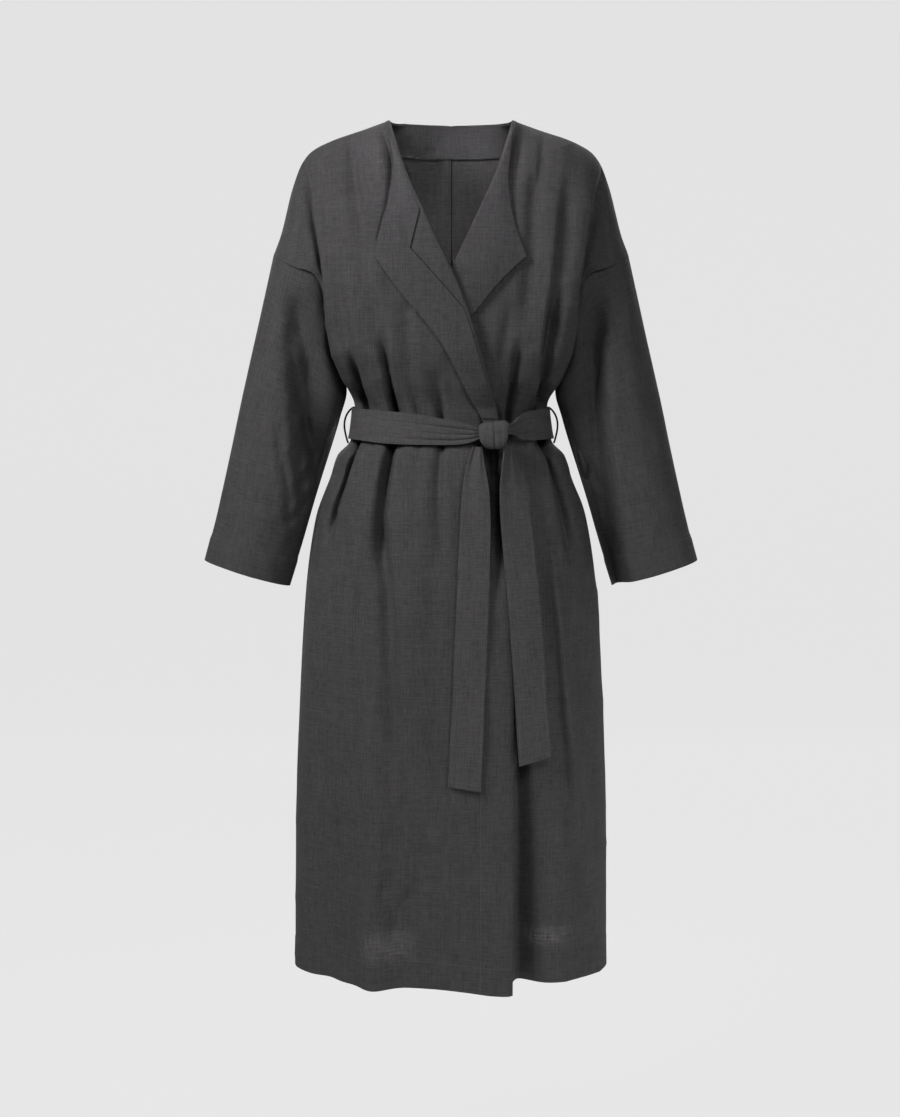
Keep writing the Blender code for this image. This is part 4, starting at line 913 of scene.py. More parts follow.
class Sheet:
    """Middle surface of one piece of cloth: points, quads that face outwards, directions and weave places."""

    def __init__(self, points, faces, weave, mirrored=False):
        self.points = points.reshape(-1, 3)
        self.faces = faces[:, ::-1] if mirrored else faces
        self.normals = point_normals(self.points, self.faces)
        corners = weave if weave.shape[:2] == faces.shape else weave.reshape(-1, 2)[faces]
        self.weave = corners[:, ::-1] if mirrored else corners
        self.inner_extra = np.zeros(len(self.points))

    def square_seam(self, chosen, axis):
        """Turn the directions at a seam square to the seam's plane."""
        self.normals[chosen, axis] = 0.0
        self.normals[chosen] = unit(self.normals[chosen])


def add_object(name, data):
    """Add an object with this data to the scene."""
    made = bpy.data.objects.new(name, data)
    bpy.context.scene.collection.objects.link(made)
    return made


def adopt(made, node):
    """Make a piece ride on the body and stand for its node."""
    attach(made, "root")
    if node:
        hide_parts(node)
    return made


def add_piece(name, points, faces, material, node=None, weave=None, sharp=WALL_SHARP):
    """Add a mesh piece that rides on the jacket's one body."""
    mesh = bpy.data.meshes.new(name)
    mesh.from_pydata(points.tolist(), [], faces.tolist())
    mesh.materials.append(material)
    mesh.polygons.foreach_set("use_smooth", np.ones(len(mesh.polygons), bool))
    if weave is not None:
        layer = mesh.uv_layers.new(name="weave")
        layer.data.foreach_set("uv", np.asarray(weave, np.float32).ravel())
    mesh.update()
    mesh.set_sharp_from_angle(angle=math.radians(sharp))
    return adopt(add_object(name, mesh), node)


def add_wall(name, sheet, thickness, material):
    """Thicken a sheet evenly to both sides and close its rim."""
    count = len(sheet.points)
    outer = sheet.points + sheet.normals * thickness / 2
    inner = sheet.points - sheet.normals * (thickness / 2 + sheet.inner_extra[:, None])
    starts = sheet.faces.ravel().astype(np.int64)
    ends = np.roll(sheet.faces, -1, axis=1).ravel().astype(np.int64)
    start_weave = sheet.weave.reshape(-1, 2)
    end_weave = np.roll(sheet.weave, -1, axis=1).reshape(-1, 2)
    rim = np.flatnonzero(~np.isin(starts * count + ends, ends * count + starts))
    rim_faces = np.stack([ends[rim], starts[rim], starts[rim] + count, ends[rim] + count], axis=-1)
    rim_weave = np.stack([end_weave[rim], start_weave[rim], start_weave[rim], end_weave[rim]], axis=1)
    faces = np.concatenate([sheet.faces, sheet.faces[:, ::-1] + count, rim_faces])
    weave = np.concatenate([sheet.weave, sheet.weave[:, ::-1], rim_weave])
    return add_piece(name, np.concatenate([outer, inner]), faces, material, name, weave)


def even_turns(face, side, first, columns):
    """Turns that lie evenly along each creased row of a panel, and how far each lies from the centre."""
    def turn_of(step):
        return np.sign(step) * np.abs(step) ** TURN_POWER * RIGHT_ANGLE

    start = np.sign(first) * (np.abs(first) / RIGHT_ANGLE) ** (1.0 / TURN_POWER)
    steps = between(start[:, None], 1.0, np.linspace(0.0, 1.0, DENSE_TURNS))
    turns = turn_of(steps)
    points = form_point(face, ROWS[:, None], turns)
    arcs = arc_lengths(points)
    creased = arc_lengths(cloth_point(face, side, ROWS[:, None], turns))
    spread = between(arcs, creased, CREASE_COLUMNS_SHARE)
    shares = np.linspace(0.0, 1.0, columns)
    chosen, places = np.empty((2, len(ROWS), columns))
    for row in range(len(ROWS)):
        step = np.interp(shares * spread[row, -1], spread[row], steps[row])
        chosen[row] = turn_of(step)
        centre = np.interp(0.0, turns[row], arcs[row]) if first[row] < 0.0 else -points[row, 0, 0]
        places[row] = np.interp(step, steps[row], arcs[row]) - centre
    chosen[:, -1] = RIGHT_ANGLE
    chosen[:, 0] = first
    return chosen, places


def panel_grid(face, side):
    """Points and weave places of a panel, a row for each station, from its inner edge to the side seam."""
    edge_x, _ = inner_edge(face, ROWS)
    start = edge_x + roll_radius(ROWS) if face == "front" else edge_x
    turns, places = even_turns(face, side, turn_at(face, ROWS, start), PANEL_COLUMNS[face])
    points = cloth_point(face, side, ROWS[:, None], turns)
    seam_y = OUTWARD[face][1] * SEAM_GAP / 2
    points[0, :, 1] = seam_y
    points[ARMHOLE_ROWS - 1:, -1, 1] = seam_y
    plain_form = form_point(face, ROWS[:, None], turns)
    slope = SHOULDER_SLOPE * (1.0 - ease(ROWS / UNDERARM_DOWN))[:, None]
    weave = np.stack([places, plain_form[..., 2] - slope * np.abs(plain_form[..., 1])], axis=-1)
    return points, weave


def mark_seams(sheet, rows, columns):
    """Square a panel's shoulder and side seams, and note the points of its armhole."""
    sheet.square_seam(np.arange(columns), 1)
    sheet.square_seam(np.arange(ARMHOLE_ROWS - 1, rows) * columns + columns - 1, 1)
    sheet.armhole = np.arange(ARMHOLE_ROWS) * columns + columns - 1


def front_sheet(side):
    """Front panel with its cut-on lapel."""
    body, weave = panel_grid("front", side)
    rows, columns = body.shape[:2]
    lapel_rows = int(np.searchsorted(ROWS, LAPEL_END[side], side="right"))
    downs = ROWS[:lapel_rows]
    flap = [lapel_point(side, downs, share) for share in LAPEL_SHARES]
    flap += [roll_point(side, downs, math.radians(angle)) for angle in ARC_ANGLES]
    flap = np.stack(flap, axis=1)
    flap[0, :, 1] = -SEAM_GAP / 2
    width = flap.shape[1]
    first = rows * columns
    joint = first + np.arange(lapel_rows - 1) * width + width - 1
    beside = np.arange(lapel_rows - 1) * columns
    join_faces = np.stack([joint, joint + width, beside + columns, beside], axis=-1)
    faces = np.concatenate([grid_faces(0, rows, columns), join_faces, grid_faces(first, lapel_rows, width)])
    points = np.concatenate([body.reshape(-1, 3), flap.reshape(-1, 3)])
    places = np.concatenate([weave.reshape(-1, 2), flap[..., [0, 2]].reshape(-1, 2)])
    sheet = Sheet(points, faces, places, mirrored=side == "right")
    mark_seams(sheet, rows, columns)
    sheet.square_seam(first + np.arange(width), 1)
    return sheet


def back_sheet(side):
    """Back panel, from the neck edge and the centre back seam to the side, with one seam allowance."""
    body, weave = panel_grid("back", side)
    rows, columns = body.shape[:2]
    centre_rows = np.flatnonzero(ROWS >= BACK_NECK_DOWN - STEP)
    body[centre_rows, 0, 0] = SIDES[side] * SEAM_GAP / 2
    sheet = Sheet(body, grid_faces(0, rows, columns), weave, mirrored=side == "left")
    mark_seams(sheet, rows, columns)
    sheet.square_seam(centre_rows * columns, 0)
    if side == "right":
        low = np.repeat(ROWS >= BACK_NECK_DOWN, columns)
        from_seam = np.abs(sheet.points[:, 0])
        allowance = 1.0 - ramp(from_seam, SEAM_ALLOWANCE - SEAM_ALLOWANCE_EDGE, SEAM_ALLOWANCE)
        sheet.inner_extra = SEAM_ALLOWANCE_LIFT * low * allowance
    return sheet


def hole_angles(hole):
    """Angles round the sleeve of the points along one half of the armhole."""
    lengths = arc_lengths(hole)
    return np.pi * lengths / lengths[-1]


def sleeve_ring(along, angles):
    """Ring of the sleeve: an oval between its outer and inner line."""
    size = {name: curve(along) for name, curve in SLEEVE_FORM.items()}
    outer = np.array([size["outer_x"], size["mid_y"], size["outer_z"]])
    inner = np.array([size["inner_x"], size["mid_y"], size["inner_z"]])
    middle = (outer + inner) / 2
    forward = np.array([0.0, -size["half_depth"], 0.0])
    return middle + np.cos(angles)[:, None] * (outer - middle) + np.sin(angles)[:, None] * forward


def sleeve_sheet(side, front, back):
    """Sleeve tube from the armhole seam of its two panels to the cuff."""
    front_hole, back_hole = front.points[front.armhole], back.points[back.armhole]
    ring = np.concatenate([front_hole, back_hole[-2:0:-1]])
    ring[[0, len(front_hole) - 1], 1] = 0.0
    angles = np.concatenate([hole_angles(front_hole), 2 * np.pi - hole_angles(back_hole)[-2:0:-1]])
    start, end = [sleeve_ring(along, angles) * MIRROR[side] for along in (0.0, 1.0)]
    axis = unit((end - start).mean(axis=0))
    underarm = np.clip(-np.cos(angles), 0.0, 1.0)[:, None] ** UNDERARM_POWER
    gap = axis * SEAM_GAP + MIRROR[side] * (UNDERARM_STAND, 0.0, 0.0) * underarm
    points = np.stack([sleeve_ring(along, angles) * MIRROR[side]
                       + (ring - start) * (1.0 - ease(along / SLEEVE_FADE)) + gap for along in SLEEVE_RINGS])
    around = arc_lengths(np.concatenate([points, points[:, :1]], axis=1))
    weave = ring_weave(around, -SLEEVE_LENGTH * SLEEVE_RINGS[:, None])
    faces = ring_faces(*points.shape[:2])
    smooth = Sheet(points, faces, weave, mirrored=side == "right")
    crease, fine = sleeve_height(side, points, angles)
    in_front = np.broadcast_to(np.sin(angles) >= 0.0, crease.shape).reshape(-1, 1)
    square = np.where(in_front, OUTWARD["front"], OUTWARD["back"])
    outward = between(smooth.normals, square, CREASE_SQUARE)
    moved = smooth.points + outward * crease.reshape(-1, 1) + smooth.normals * fine.reshape(-1, 1)
    sheet = Sheet(moved, faces, weave, mirrored=side == "right")
    sheet.ring = len(angles)
    share_seam(sheet, front, back)
    return sheet


def sleeve_height(side, points, angles):
    """Creases and crumpling on a sleeve, none at its armhole seam; behind, the other sleeve's creases."""
    x, z = points[..., 0], points[..., 2]
    forward = np.sin(angles)
    clear = ease(SLEEVE_RINGS / SLEEVE_CALM)[:, None]
    front = crease_height(CREASES["sleeve_" + side], x, z) * ease(forward * SLEEVE_CREASE_TURN)
    other = CREASES["sleeve_left" if side == "right" else "sleeve_right"]
    back = crease_height(other, -x, z + SLEEVE_BACK_SHIFT) * ease(-forward * SLEEVE_CREASE_TURN)
    around = np.where(forward >= 0, angles, SLEEVE_BACK_TURN - angles) * SLEEVE_RADIUS
    fine = crumple(np.broadcast_to(around, x.shape), z, SEEDS["sleeve_" + side]) * np.abs(forward)
    from_cuff = SLEEVE_LENGTH * (1.0 - SLEEVE_RINGS)
    cuff = LAYER_HEIGHT * ramp(from_cuff, CUFF_DEPTH + LAYER_EDGE, CUFF_DEPTH - LAYER_EDGE)
    return clear * (front + back), clear * SLEEVE_CRUMPLE * fine + cuff[:, None]


def share_seam(sleeve, front, back):
    """Give sleeve and panels the same directions along the armhole seam."""
    turn = len(front.armhole)
    pairs = [(place, front, front.armhole[place]) for place in range(turn)]
    pairs += [(place, back, back.armhole[sleeve.ring - place]) for place in range(turn, sleeve.ring)]
    pairs += [(0, back, back.armhole[0]), (turn - 1, back, back.armhole[-1])]
    for place, panel, point in pairs:
        shared = unit(sleeve.normals[place] + panel.normals[point])
        sleeve.normals[place] = shared
        panel.normals[point] = shared


def lapel_facing_sheet(side):
    """Facing on the turned-out lapel, made from the lapel's points moved out."""
    downs = FACING_ROWS[side]
    edge = inner_edge("front", downs)[0] + roll_radius(downs)
    width = LAPEL_EDGE[side](downs) - edge
    line = np.interp(downs, FACING_DOWNS, FACING_LINE["x"], left=-1.0, right=-1.0)
    start = np.clip((line - edge) / width, FACING_INSET, 1.0)
    lift = CLOTH / 2 + FACING_SLACK + FACING_CLOTH / 2
    points = np.stack([lapel_point(side, downs, between(start, 1.0 - FACING_EDGE_INSET, share), lift)
                       for share in FACING_SHARES], axis=1)
    points[0, :, 1] = -SEAM_GAP / 2
    sheet = Sheet(points, grid_faces(0, *points.shape[:2]), points[..., [0, 2]], mirrored=side == "right")
    sheet.square_seam(np.arange(len(FACING_SHARES)), 1)
    return sheet


def neck_facing_rows(side, widths, lift):
    """Rows of the band inside the back neck, from the shoulder seam to the centre back."""
    rows = []
    for down in ROWS[ROWS <= BACK_NECK_DOWN + STEP]:
        neck_x = FORM["neck_x"](down)
        low_x = neck_x + FACING_WIDTH * (1.0 - ease(down / BACK_NECK_DOWN))
        low_down = station_of("back", low_x, NECK_FACING_LOW(low_x))
        turns = between(turn_at("back", down, neck_x), turn_at("back", low_down, low_x), widths)
        rows.append(cloth_point("back", side, between(down, low_down, widths), turns, lift))
    return np.stack(rows)


def neck_facing_sheet():
    """Band inside the back neck, from shoulder seam to shoulder seam."""
    lift = -(CLOTH / 2 + NECK_FACING_SLACK + FACING_CLOTH / 2)
    halves = {side: neck_facing_rows(side, NECK_FACING_SHARES, lift) for side in SIDES}
    for half in halves.values():
        half[0, :, 1] = SEAM_GAP / 2
        half[-1, :, 0] = 0.0
    points = np.concatenate([halves["right"], halves["left"][-2::-1]])
    rows, columns = points.shape[:2]
    sheet = Sheet(points, grid_faces(0, rows, columns), points[..., [0, 2]])
    sheet.square_seam(np.arange(columns), 1)
    sheet.square_seam((rows - 1) * columns + np.arange(columns), 1)
    return sheet


def ring_point(around, height, lift):
    """Point outside the waist at an angle from the centre front, positive to the wearer's left."""
    away = np.abs(np.arctan2(np.sin(around), np.cos(around)))
    down = down_at(height)
    halves = []
    for face, turn in (("front", away), ("back", np.pi - away)):
        turn = np.minimum(turn, RIGHT_ANGLE)
        halves.append(form_point(face, down, turn) + form_normal(face, down, turn) * lift[..., None])
    point = np.where((away <= RIGHT_ANGLE)[..., None], *halves)
    point[..., 0] *= np.where(np.sin(around) < 0.0, -1.0, 1.0)
    return point


def belt_point(degrees, share, extra=0.0):
    """Point of the strap round the waist, gathered into pleats where it goes into the knot."""
    turned = (degrees - KNOT_TURN + 180.0) % 360.0 - 180.0
    away = np.radians(turned) * (FORM["front"](WAIST_DOWN) + FORM["side_x"](WAIST_DOWN)) / 2
    ends = {name: curve(np.abs(away)) for name, curve in BELT_EDGE_FORM.items()}
    to_left = ramp(away, -KNOT_INSIDE, KNOT_INSIDE)
    top = between(ends["right_top"], ends["left_top"], to_left)
    low = between(ends["right_low"], ends["left_low"], to_left)
    over_front = ramp(degrees, *BELT_ON_OVER_FRONT["from"]) * (1.0 - ramp(degrees, *BELT_ON_OVER_FRONT["to"]))
    from_lapel = (degrees - BELT_ON_LAPEL["turn"]) / BELT_ON_LAPEL["spread"]
    lift = between(BELT_LIFT, BELT_FRONT_LIFT, over_front)
    lift = lift + (BELT_LAPEL_LIFT - BELT_FRONT_LIFT) * np.exp(-from_lapel ** BELT_ON_LAPEL["power"])
    lift = lift + KNOT_PULL * bell(away / KNOT_PULL_SPREAD)
    for side, weight in (("right", 1.0 - to_left), ("left", to_left)):
        for pleat in rows_of(PLEATS[side]):
            offset = np.abs(share - pleat["share"]) / pleat["width"]
            depth = pleat["depth"] * weight * bell(away / pleat["reach"])
            lift = lift - depth * (np.exp(-offset) - PLEAT_BALANCE)
    around = np.radians(degrees) * BELT_RIPPLE["radius"]
    waves = ripple(around, share * BELT_WIDTH, BELT_RIPPLE["size"], SEEDS["belt"])
    lift = lift + BELT_RIPPLE["height"] * waves + extra
    return ring_point(np.radians(degrees), (top + low) / 2 + (top - low) * share, lift)


def belt_band_sheet():
    """Strap round the waist."""
    degrees = np.linspace(-180.0, 180.0, BELT_STEPS, endpoint=False)
    points = np.stack([belt_point(degrees, share) for share in STRAP_SHARES])
    around = np.linspace(0.0, FLAT["belt_band"][1], BELT_STEPS + 1)
    weave = ring_weave(STRAP_SHARES[:, None] * BELT_WIDTH, around)
    return Sheet(points, ring_faces(*points.shape[:2]), weave)


def front_depth(across, height):
    """How far the plain form lies in front of the shoulder line."""
    down = down_at(height)
    return -form_point("front", down, turn_at("front", down, np.abs(across)))[..., 1]


def tail_ends(side):
    """Heights of the top and the low end of a belt tail."""
    return TAILS[side]["z"][-1], TAILS[side]["z"][0]


def tail_point(side, heights, share, extra=0.0):
    """Point of a hanging end of the belt, gathered under the knot and flat lower down."""
    size = {name: curve(heights) for name, curve in TAIL_FORM[side].items()}
    top, low = tail_ends(side)
    below = top - heights
    gathered = bell(below / TAIL_GATHER["reach"])
    across = size["x"] + size["width"] * share
    curl = TAIL_CURL[side] * 2.0 * share * np.exp(-below / TAIL_CURL["reach"])
    pleat = TAIL_GATHER["depth"] * gathered * np.cos(2 * np.pi * TAIL_GATHER["waves"] * (share + 0.5))
    wave = TAIL_WAVE["height"] * np.sin(below / TAIL_WAVE["length"] + share)
    wave = wave + TAIL_RIPPLE["height"] * ripple(across, heights, TAIL_RIPPLE["size"], SEEDS["tails"])
    depth = front_depth(across, heights) + size["lift"] + curl + pleat + wave * (1.0 - gathered) + extra
    slant = TAIL_SLANT[side] * 2.0 * share * ramp(-heights, -(low + TAIL_SLANT["reach"]), -low)
    return np.stack(np.broadcast_arrays(across, -depth, heights + slant), axis=-1)


def tail_sheet(side):
    """Hanging end of the belt."""
    heights = np.linspace(*tail_ends(side), TAIL_STEPS)[:, None]
    points = tail_point(side, heights, TAIL_SHARES[None, :])
    weave = np.stack(np.broadcast_arrays(TAIL_SHARES[None, :] * BELT_WIDTH, heights), axis=-1)
    return Sheet(points, grid_faces(0, *points.shape[:2]), weave)


def knot_sheet():
    """The turn of the strap that ties the knot: a creased band that goes over, behind and up again."""
    around_steps, across_steps = KNOT_STEPS
    angle = np.linspace(0.0, 2 * np.pi, around_steps, endpoint=False)[None, :]
    share = np.linspace(-1.0, 1.0, across_steps)[:, None]
    half_x, half_y, half_z = KNOT_HALF

    def rounded(value):
        return np.sign(value) * np.abs(value) ** KNOT_ROUNDING

    rise = np.sin(angle)
    shrink = 1.0 - KNOT_EDGE_ROLL * np.abs(share) ** KNOT_EDGE_POWER
    height = np.zeros((across_steps, around_steps))
    for crease in rows_of(KNOT_CREASES):
        place = crease["across"] + crease["lean"] * rise
        height -= crease["depth"] * bell((share - place) / crease["width"])
    forward = rounded(np.cos(angle)) * (half_y * shrink + height)
    up = rounded(rise) * (half_z * shrink + KNOT_CREASE_UP * height)
    below = np.clip((KNOT_TAPER["from"] - rise) / KNOT_TAPER["over"], 0.0, 1.0)
    x = KNOT_X + share * half_x * (1.0 - KNOT_TAPER["share"] * below ** 2)
    depth = front_depth(np.array(KNOT_X), np.array(KNOT_Z)) + KNOT_LIFT + forward
    z = KNOT_Z + up + KNOT_SLANT * share * np.clip(rise, 0.0, 1.0)
    points = np.stack(np.broadcast_arrays(x, -depth, z), axis=-1)
    weave = ring_weave(share * half_x, np.linspace(0.0, FLAT["belt_knot"][1], around_steps + 1))
    return Sheet(points, ring_faces(across_steps, around_steps), weave)


def add_node(tree, kind, values=(), links=(), **settings):
    """Add a shader node with its settings, its plain values and the outputs that feed it."""
    node = tree.nodes.new(kind)
    for name, setting in settings.items():
        setattr(node, name, setting)
    for name, value in dict(values).items():
        node.inputs[name].default_value = value
    for name, output in dict(links).items():
        tree.links.new(output, node.inputs[name])
    return node


def matt(name, roughness, specular):
    """New matt material, and its shader."""
    material = bpy.data.materials.new(name)
    material.use_nodes = True
    shader = material.node_tree.nodes["Principled BSDF"]
    shader.inputs["Roughness"].default_value = roughness
    shader.inputs["Specular IOR Level"].default_value = specular
    return material, shader


def thread_shade(tree, place, threads):
    """Light and dark of uneven threads, summed over the rows of a table."""
    total = None
    for thread in rows_of(threads):
        size = {"Scale": (thread["across"], thread["along"], 1.0)}
        scale = add_node(tree, "ShaderNodeMapping", size, {"Vector": place})
        noise = add_node(tree, "ShaderNodeTexNoise", THREAD_NOISE, {"Vector": scale.outputs["Vector"]},
                         noise_dimensions="2D")
        weight = thread["weight"]
        level = add_node(tree, "ShaderNodeMath", {1: weight, 2: -0.5 * weight}, {0: noise.outputs["Fac"]},
                         operation="MULTIPLY_ADD").outputs["Value"]
        if total is not None:
            added = add_node(tree, "ShaderNodeMath", links={0: total, 1: level}, operation="ADD")
            level = added.outputs["Value"]
        total = level
    return total


def share_of_range(tree, value, ends):
    """Share of the way that a value has gone between two ends."""
    limits = {"From Min": ends[0], "From Max": ends[1]}
    return add_node(tree, "ShaderNodeMapRange", limits, {"Value": value}).outputs["Result"]


def tinted(colour, level):
    """Colour made darker or paler."""
    return (*[part * level for part in colour], 1.0)


def linen(name, colour, patches=False):
    """Matt plain-weave linen with uneven threads both ways, and pale rubbed threads on the patches."""
    material, shader = matt(name, LINEN_ROUGHNESS, LINEN_SPECULAR)
    tree = material.node_tree
    place = add_node(tree, "ShaderNodeUVMap", uv_map="weave").outputs["UV"]
    shade = thread_shade(tree, place, WEAVE_THREADS)
    ends = {MIX_FROM: tinted(colour, DARK_THREAD), MIX_TO: tinted(colour, PALE_THREAD)}
    base = add_node(tree, "ShaderNodeMix", ends, {MIX_SHARE: share_of_range(tree, shade, WEAVE_RANGE)},
                    data_type="RGBA").outputs[MIX_RESULT]
    if patches:
        mask = add_node(tree, "ShaderNodeAttribute", attribute_name="rubbed").outputs["Fac"]
        streaks = share_of_range(tree, thread_shade(tree, place, RUBBED_THREADS), RUBBED_RANGE)
        share = add_node(tree, "ShaderNodeMath", links={0: mask, 1: streaks}, operation="MULTIPLY")
        feeds = {MIX_SHARE: share.outputs["Value"], MIX_FROM: base}
        base = add_node(tree, "ShaderNodeMix", {MIX_TO: tinted(colour, RUBBED_THREAD)}, feeds,
                        data_type="RGBA").outputs[MIX_RESULT]
    tree.links.new(base, shader.inputs["Base Color"])
    bump = add_node(tree, "ShaderNodeBump", WEAVE_BUMP, {"Height": shade})
    tree.links.new(bump.outputs["Normal"], shader.inputs["Normal"])
    return material


def plain(name, colour, glow=0.0):
    """Plain matt material, which may glow evenly."""
    material, shader = matt(name, PLAIN_ROUGHNESS, PLAIN_SPECULAR)
    shader.inputs["Base Color"].default_value = (*colour, 1.0)
    if glow:
        shader.inputs["Emission Color"].default_value = (glow, glow, glow, 1.0)
        shader.inputs["Emission Strength"].default_value = 1.0
    return material


def add_stitches(name, lines, material, pitch=STITCH_PITCH, half_width=STITCH_HALF_WIDTH):
    """Row of small stitches along lines of points that each come with outward directions."""
    stitches = []
    for line, outward in lines:
        arc = arc_lengths(line)
        starts = np.arange(STITCH_START, arc[-1] - STITCH_LENGTH, pitch)

        def at(values, places):
            return np.stack([np.interp(places, arc, values[:, axis]) for axis in range(3)], axis=-1)

        first, last = at(line, starts), at(line, starts + STITCH_LENGTH)
        up = unit(at(outward, starts))
        aside = half_width * unit(np.cross(last - first, up))
        middle = (first + last) / 2
        corners = [first, last, middle + aside, middle - aside, middle + up * STITCH_HEIGHT]
        stitches.append(np.stack(corners, axis=1))
    points = np.concatenate(stitches)
    count, corners = points.shape[:2]
    faces = corners * np.arange(count)[:, None, None] + np.array(STITCH_FACES)
    return add_piece(name, points.reshape(-1, 3), faces.reshape(-1, 3), material, sharp=180)


def panel_line(face, side, downs, turns):
    """Line on the outside of a panel with its outward directions."""
    outward = form_normal(face, downs, turns) * MIRROR[side]
    return cloth_point(face, side, downs, turns, CLOTH / 2 + STITCH_STAND), outward


def hem_line(face, side):
    """Stitch line of the hem on one panel."""
    downs = np.full(LINE_STEPS["hem"], HEM_DOWN - HEM_DEPTH)
    first = turn_at(face, downs[0], inner_edge(face, downs[0])[0] + HEM_LINE["from_edge"])
    turns = np.linspace(float(first), RIGHT_ANGLE - HEM_LINE["from_seam"], len(downs))
    return panel_line(face, side, downs, turns)


def front_facing_line(side):
    """Stitch line of the front facing below the belt."""
    low = HEM_DOWN - FACING_STITCH["above_hem"]
    downs = np.linspace(FACING_STITCH["from"], low, LINE_STEPS["facing"])
    across = inner_edge("front", downs)[0] + FRONT_FACING
    return panel_line("front", side, downs, turn_at("front", downs, across))


def cuff_line(sheet):
    """Stitch line round a cuff."""
    row = int(np.argmin(np.abs(SLEEVE_RINGS - (1.0 - CUFF_DEPTH / SLEEVE_LENGTH))))
    ring = row * sheet.ring + np.arange(sheet.ring + 1) % sheet.ring
    outward = sheet.normals[ring]
    return sheet.points[ring] + outward * (CLOTH / 2 + STITCH_STAND), outward


def centre_seam_shade_lines():
    """Line of painted seam shade down the centre back, inside and outside, drawn as a strip of dark thread.
    """
    lines = []
    for sign, start in ((-1.0, CENTRE_SEAM_SHADE["inside_from"]), (1.0, CENTRE_SEAM_SHADE["outside_from"])):
        downs = np.linspace(BACK_NECK_DOWN + start, HEM_DOWN - CENTRE_SEAM_SHADE["above_hem"], LINE_STEPS["centre"])
        turns = turn_at("back", downs, CENTRE_SEAM_SHADE["x"])
        line = cloth_point("back", "left", downs, turns, sign * (CLOTH / 2 + STITCH_STAND))
        lines.append((line, sign * form_normal("back", downs, turns)))
    return lines


def facing_seam_shade_line(side, sheet):
    """Line of painted seam shade along the inner edge of the facing on a lapel, drawn as a strip of dark
    thread.
    """
    downs = FACING_ROWS[side]
    shown = (downs >= FACING_DOWNS[0]) & (downs <= FACING_DOWNS[-1])
    edge = sheet.points.reshape(len(downs), -1, 3)[shown, -1]
    outward = np.broadcast_to(OUTWARD["front"], edge.shape)
    return edge + outward * FACING_CLOTH / 2, outward


def neck_line():
    """Stitch line along the lower edge of the facing inside the back neck."""
    lift = -(CLOTH / 2 + NECK_FACING_SLACK + FACING_CLOTH + STITCH_STAND)
    width = np.array([NECK_LINE["share"]])
    halves = [neck_facing_rows(side, width, lift)[NECK_LINE["from_row"]:, 0] for side in SIDES]
    line = np.concatenate([halves[0], halves[1][-2::-1]])
    return line, np.broadcast_to(np.array(NECK_LINE["outward"]), line.shape)


def band_line(share):
    """Stitch line along the band of the belt, from one side of the knot to the other."""
    degrees = np.linspace(KNOT_TURN + KNOT_CLEAR, KNOT_TURN + 360.0 - KNOT_CLEAR, LINE_STEPS["band"])
    degrees = (degrees + 180.0) % 360.0 - 180.0
    line = belt_point(degrees, share, BELT_CLOTH / 2 + STITCH_STAND)
    return line, line - belt_point(degrees, share)


def tail_lines(side):
    """Stitch lines along both edges and across the end of a belt tail."""
    top, low = tail_ends(side)
    heights = np.linspace(top - TAIL_LINE["below_top"], low + TAIL_LINE["above_end"], LINE_STEPS["tail"])
    runs = [(heights, np.full(len(heights), share)) for share in BELT_STITCH_SHARES]
    runs.append((np.full(LINE_STEPS["tail_end"], low + TAIL_HEM),
                 np.linspace(*BELT_STITCH_SHARES, LINE_STEPS["tail_end"])))
    lines = [tail_point(side, *run, BELT_CLOTH / 2 + STITCH_STAND) for run in runs]
    return [(line, np.broadcast_to(OUTWARD["front"], line.shape)) for line in lines]


def loop_route(side):
    """Middle line of a thread loop, which stands off the side seam round the belt."""
    share = np.linspace(0.0, 1.0, LOOP_STEPS)
    ends = [FORM["side_x"](down_at(height)) + CLOTH / 2 + LOOP_RADIUS for height in (LOOP_TOP_Z, LOOP_FOOT_Z)]
    chord = between(*ends, share)
    belt_out = FORM["side_x"](down_at(BELT_MIDDLE_Z)) + BELT_LIFT + BELT_CLOTH / 2
    bow = np.clip(np.sin(np.pi * share), 0.0, 1.0) ** LOOP_BOW
    out = between(chord, belt_out + LOOP_STAND, bow)
    height = between(LOOP_TOP_Z, LOOP_FOOT_Z, share)
    return np.stack([SIDES[side] * out, np.zeros(LOOP_STEPS), height], axis=-1)


def add_loop(side, material):
    """Thread loop that carries the belt at a side seam."""
    name = "belt_loop_" + side
    route = loop_route(side)
    curve = bpy.data.curves.new(name, "CURVE")
    curve.dimensions = "3D"
    curve.bevel_depth = LOOP_RADIUS
    curve.bevel_resolution = LOOP_ROUNDNESS
    curve.use_fill_caps = True
    line = curve.splines.new("POLY")
    line.points.add(len(route) - 1)
    for place, point in zip(line.points, route):
        place.co = (*point, 1.0)
    curve.materials.append(material)
    made = adopt(add_object(name, curve), name)
    length = float(arc_lengths(route)[-1])


def mark_patches(made):
    """Mark on a front where its cloth is rubbed pale."""
    points = np.array([vertex.co for vertex in made.data.vertices])
    rubbed = patch_share(points[:, 0], points[:, 2]).astype(np.float32)
    made.data.attributes.new("rubbed", "FLOAT", "POINT").data.foreach_set("value", rubbed)


def make_materials():
    """Cloths and threads of the jacket; the dark loop thread also draws the lines of painted seam shade."""
    return {
        "linen": linen("linen", LINEN),
        "front": linen("front_linen", LINEN, patches=True),
        "facing": linen("facing_linen", FACING_LINEN),
        # Belt cloth painted paler than the jacket's linen: painted light
        "belt": linen("belt_linen", BELT_LINEN_PAINTED_PALER),
        "stitches": plain("stitch_thread", THREAD),
        # Dark thread for the belt loops and for the lines of painted seam shade
        "seams": plain("loop_thread_and_seam_shade", LOOP_THREAD_AND_SEAM_SHADE),
    }


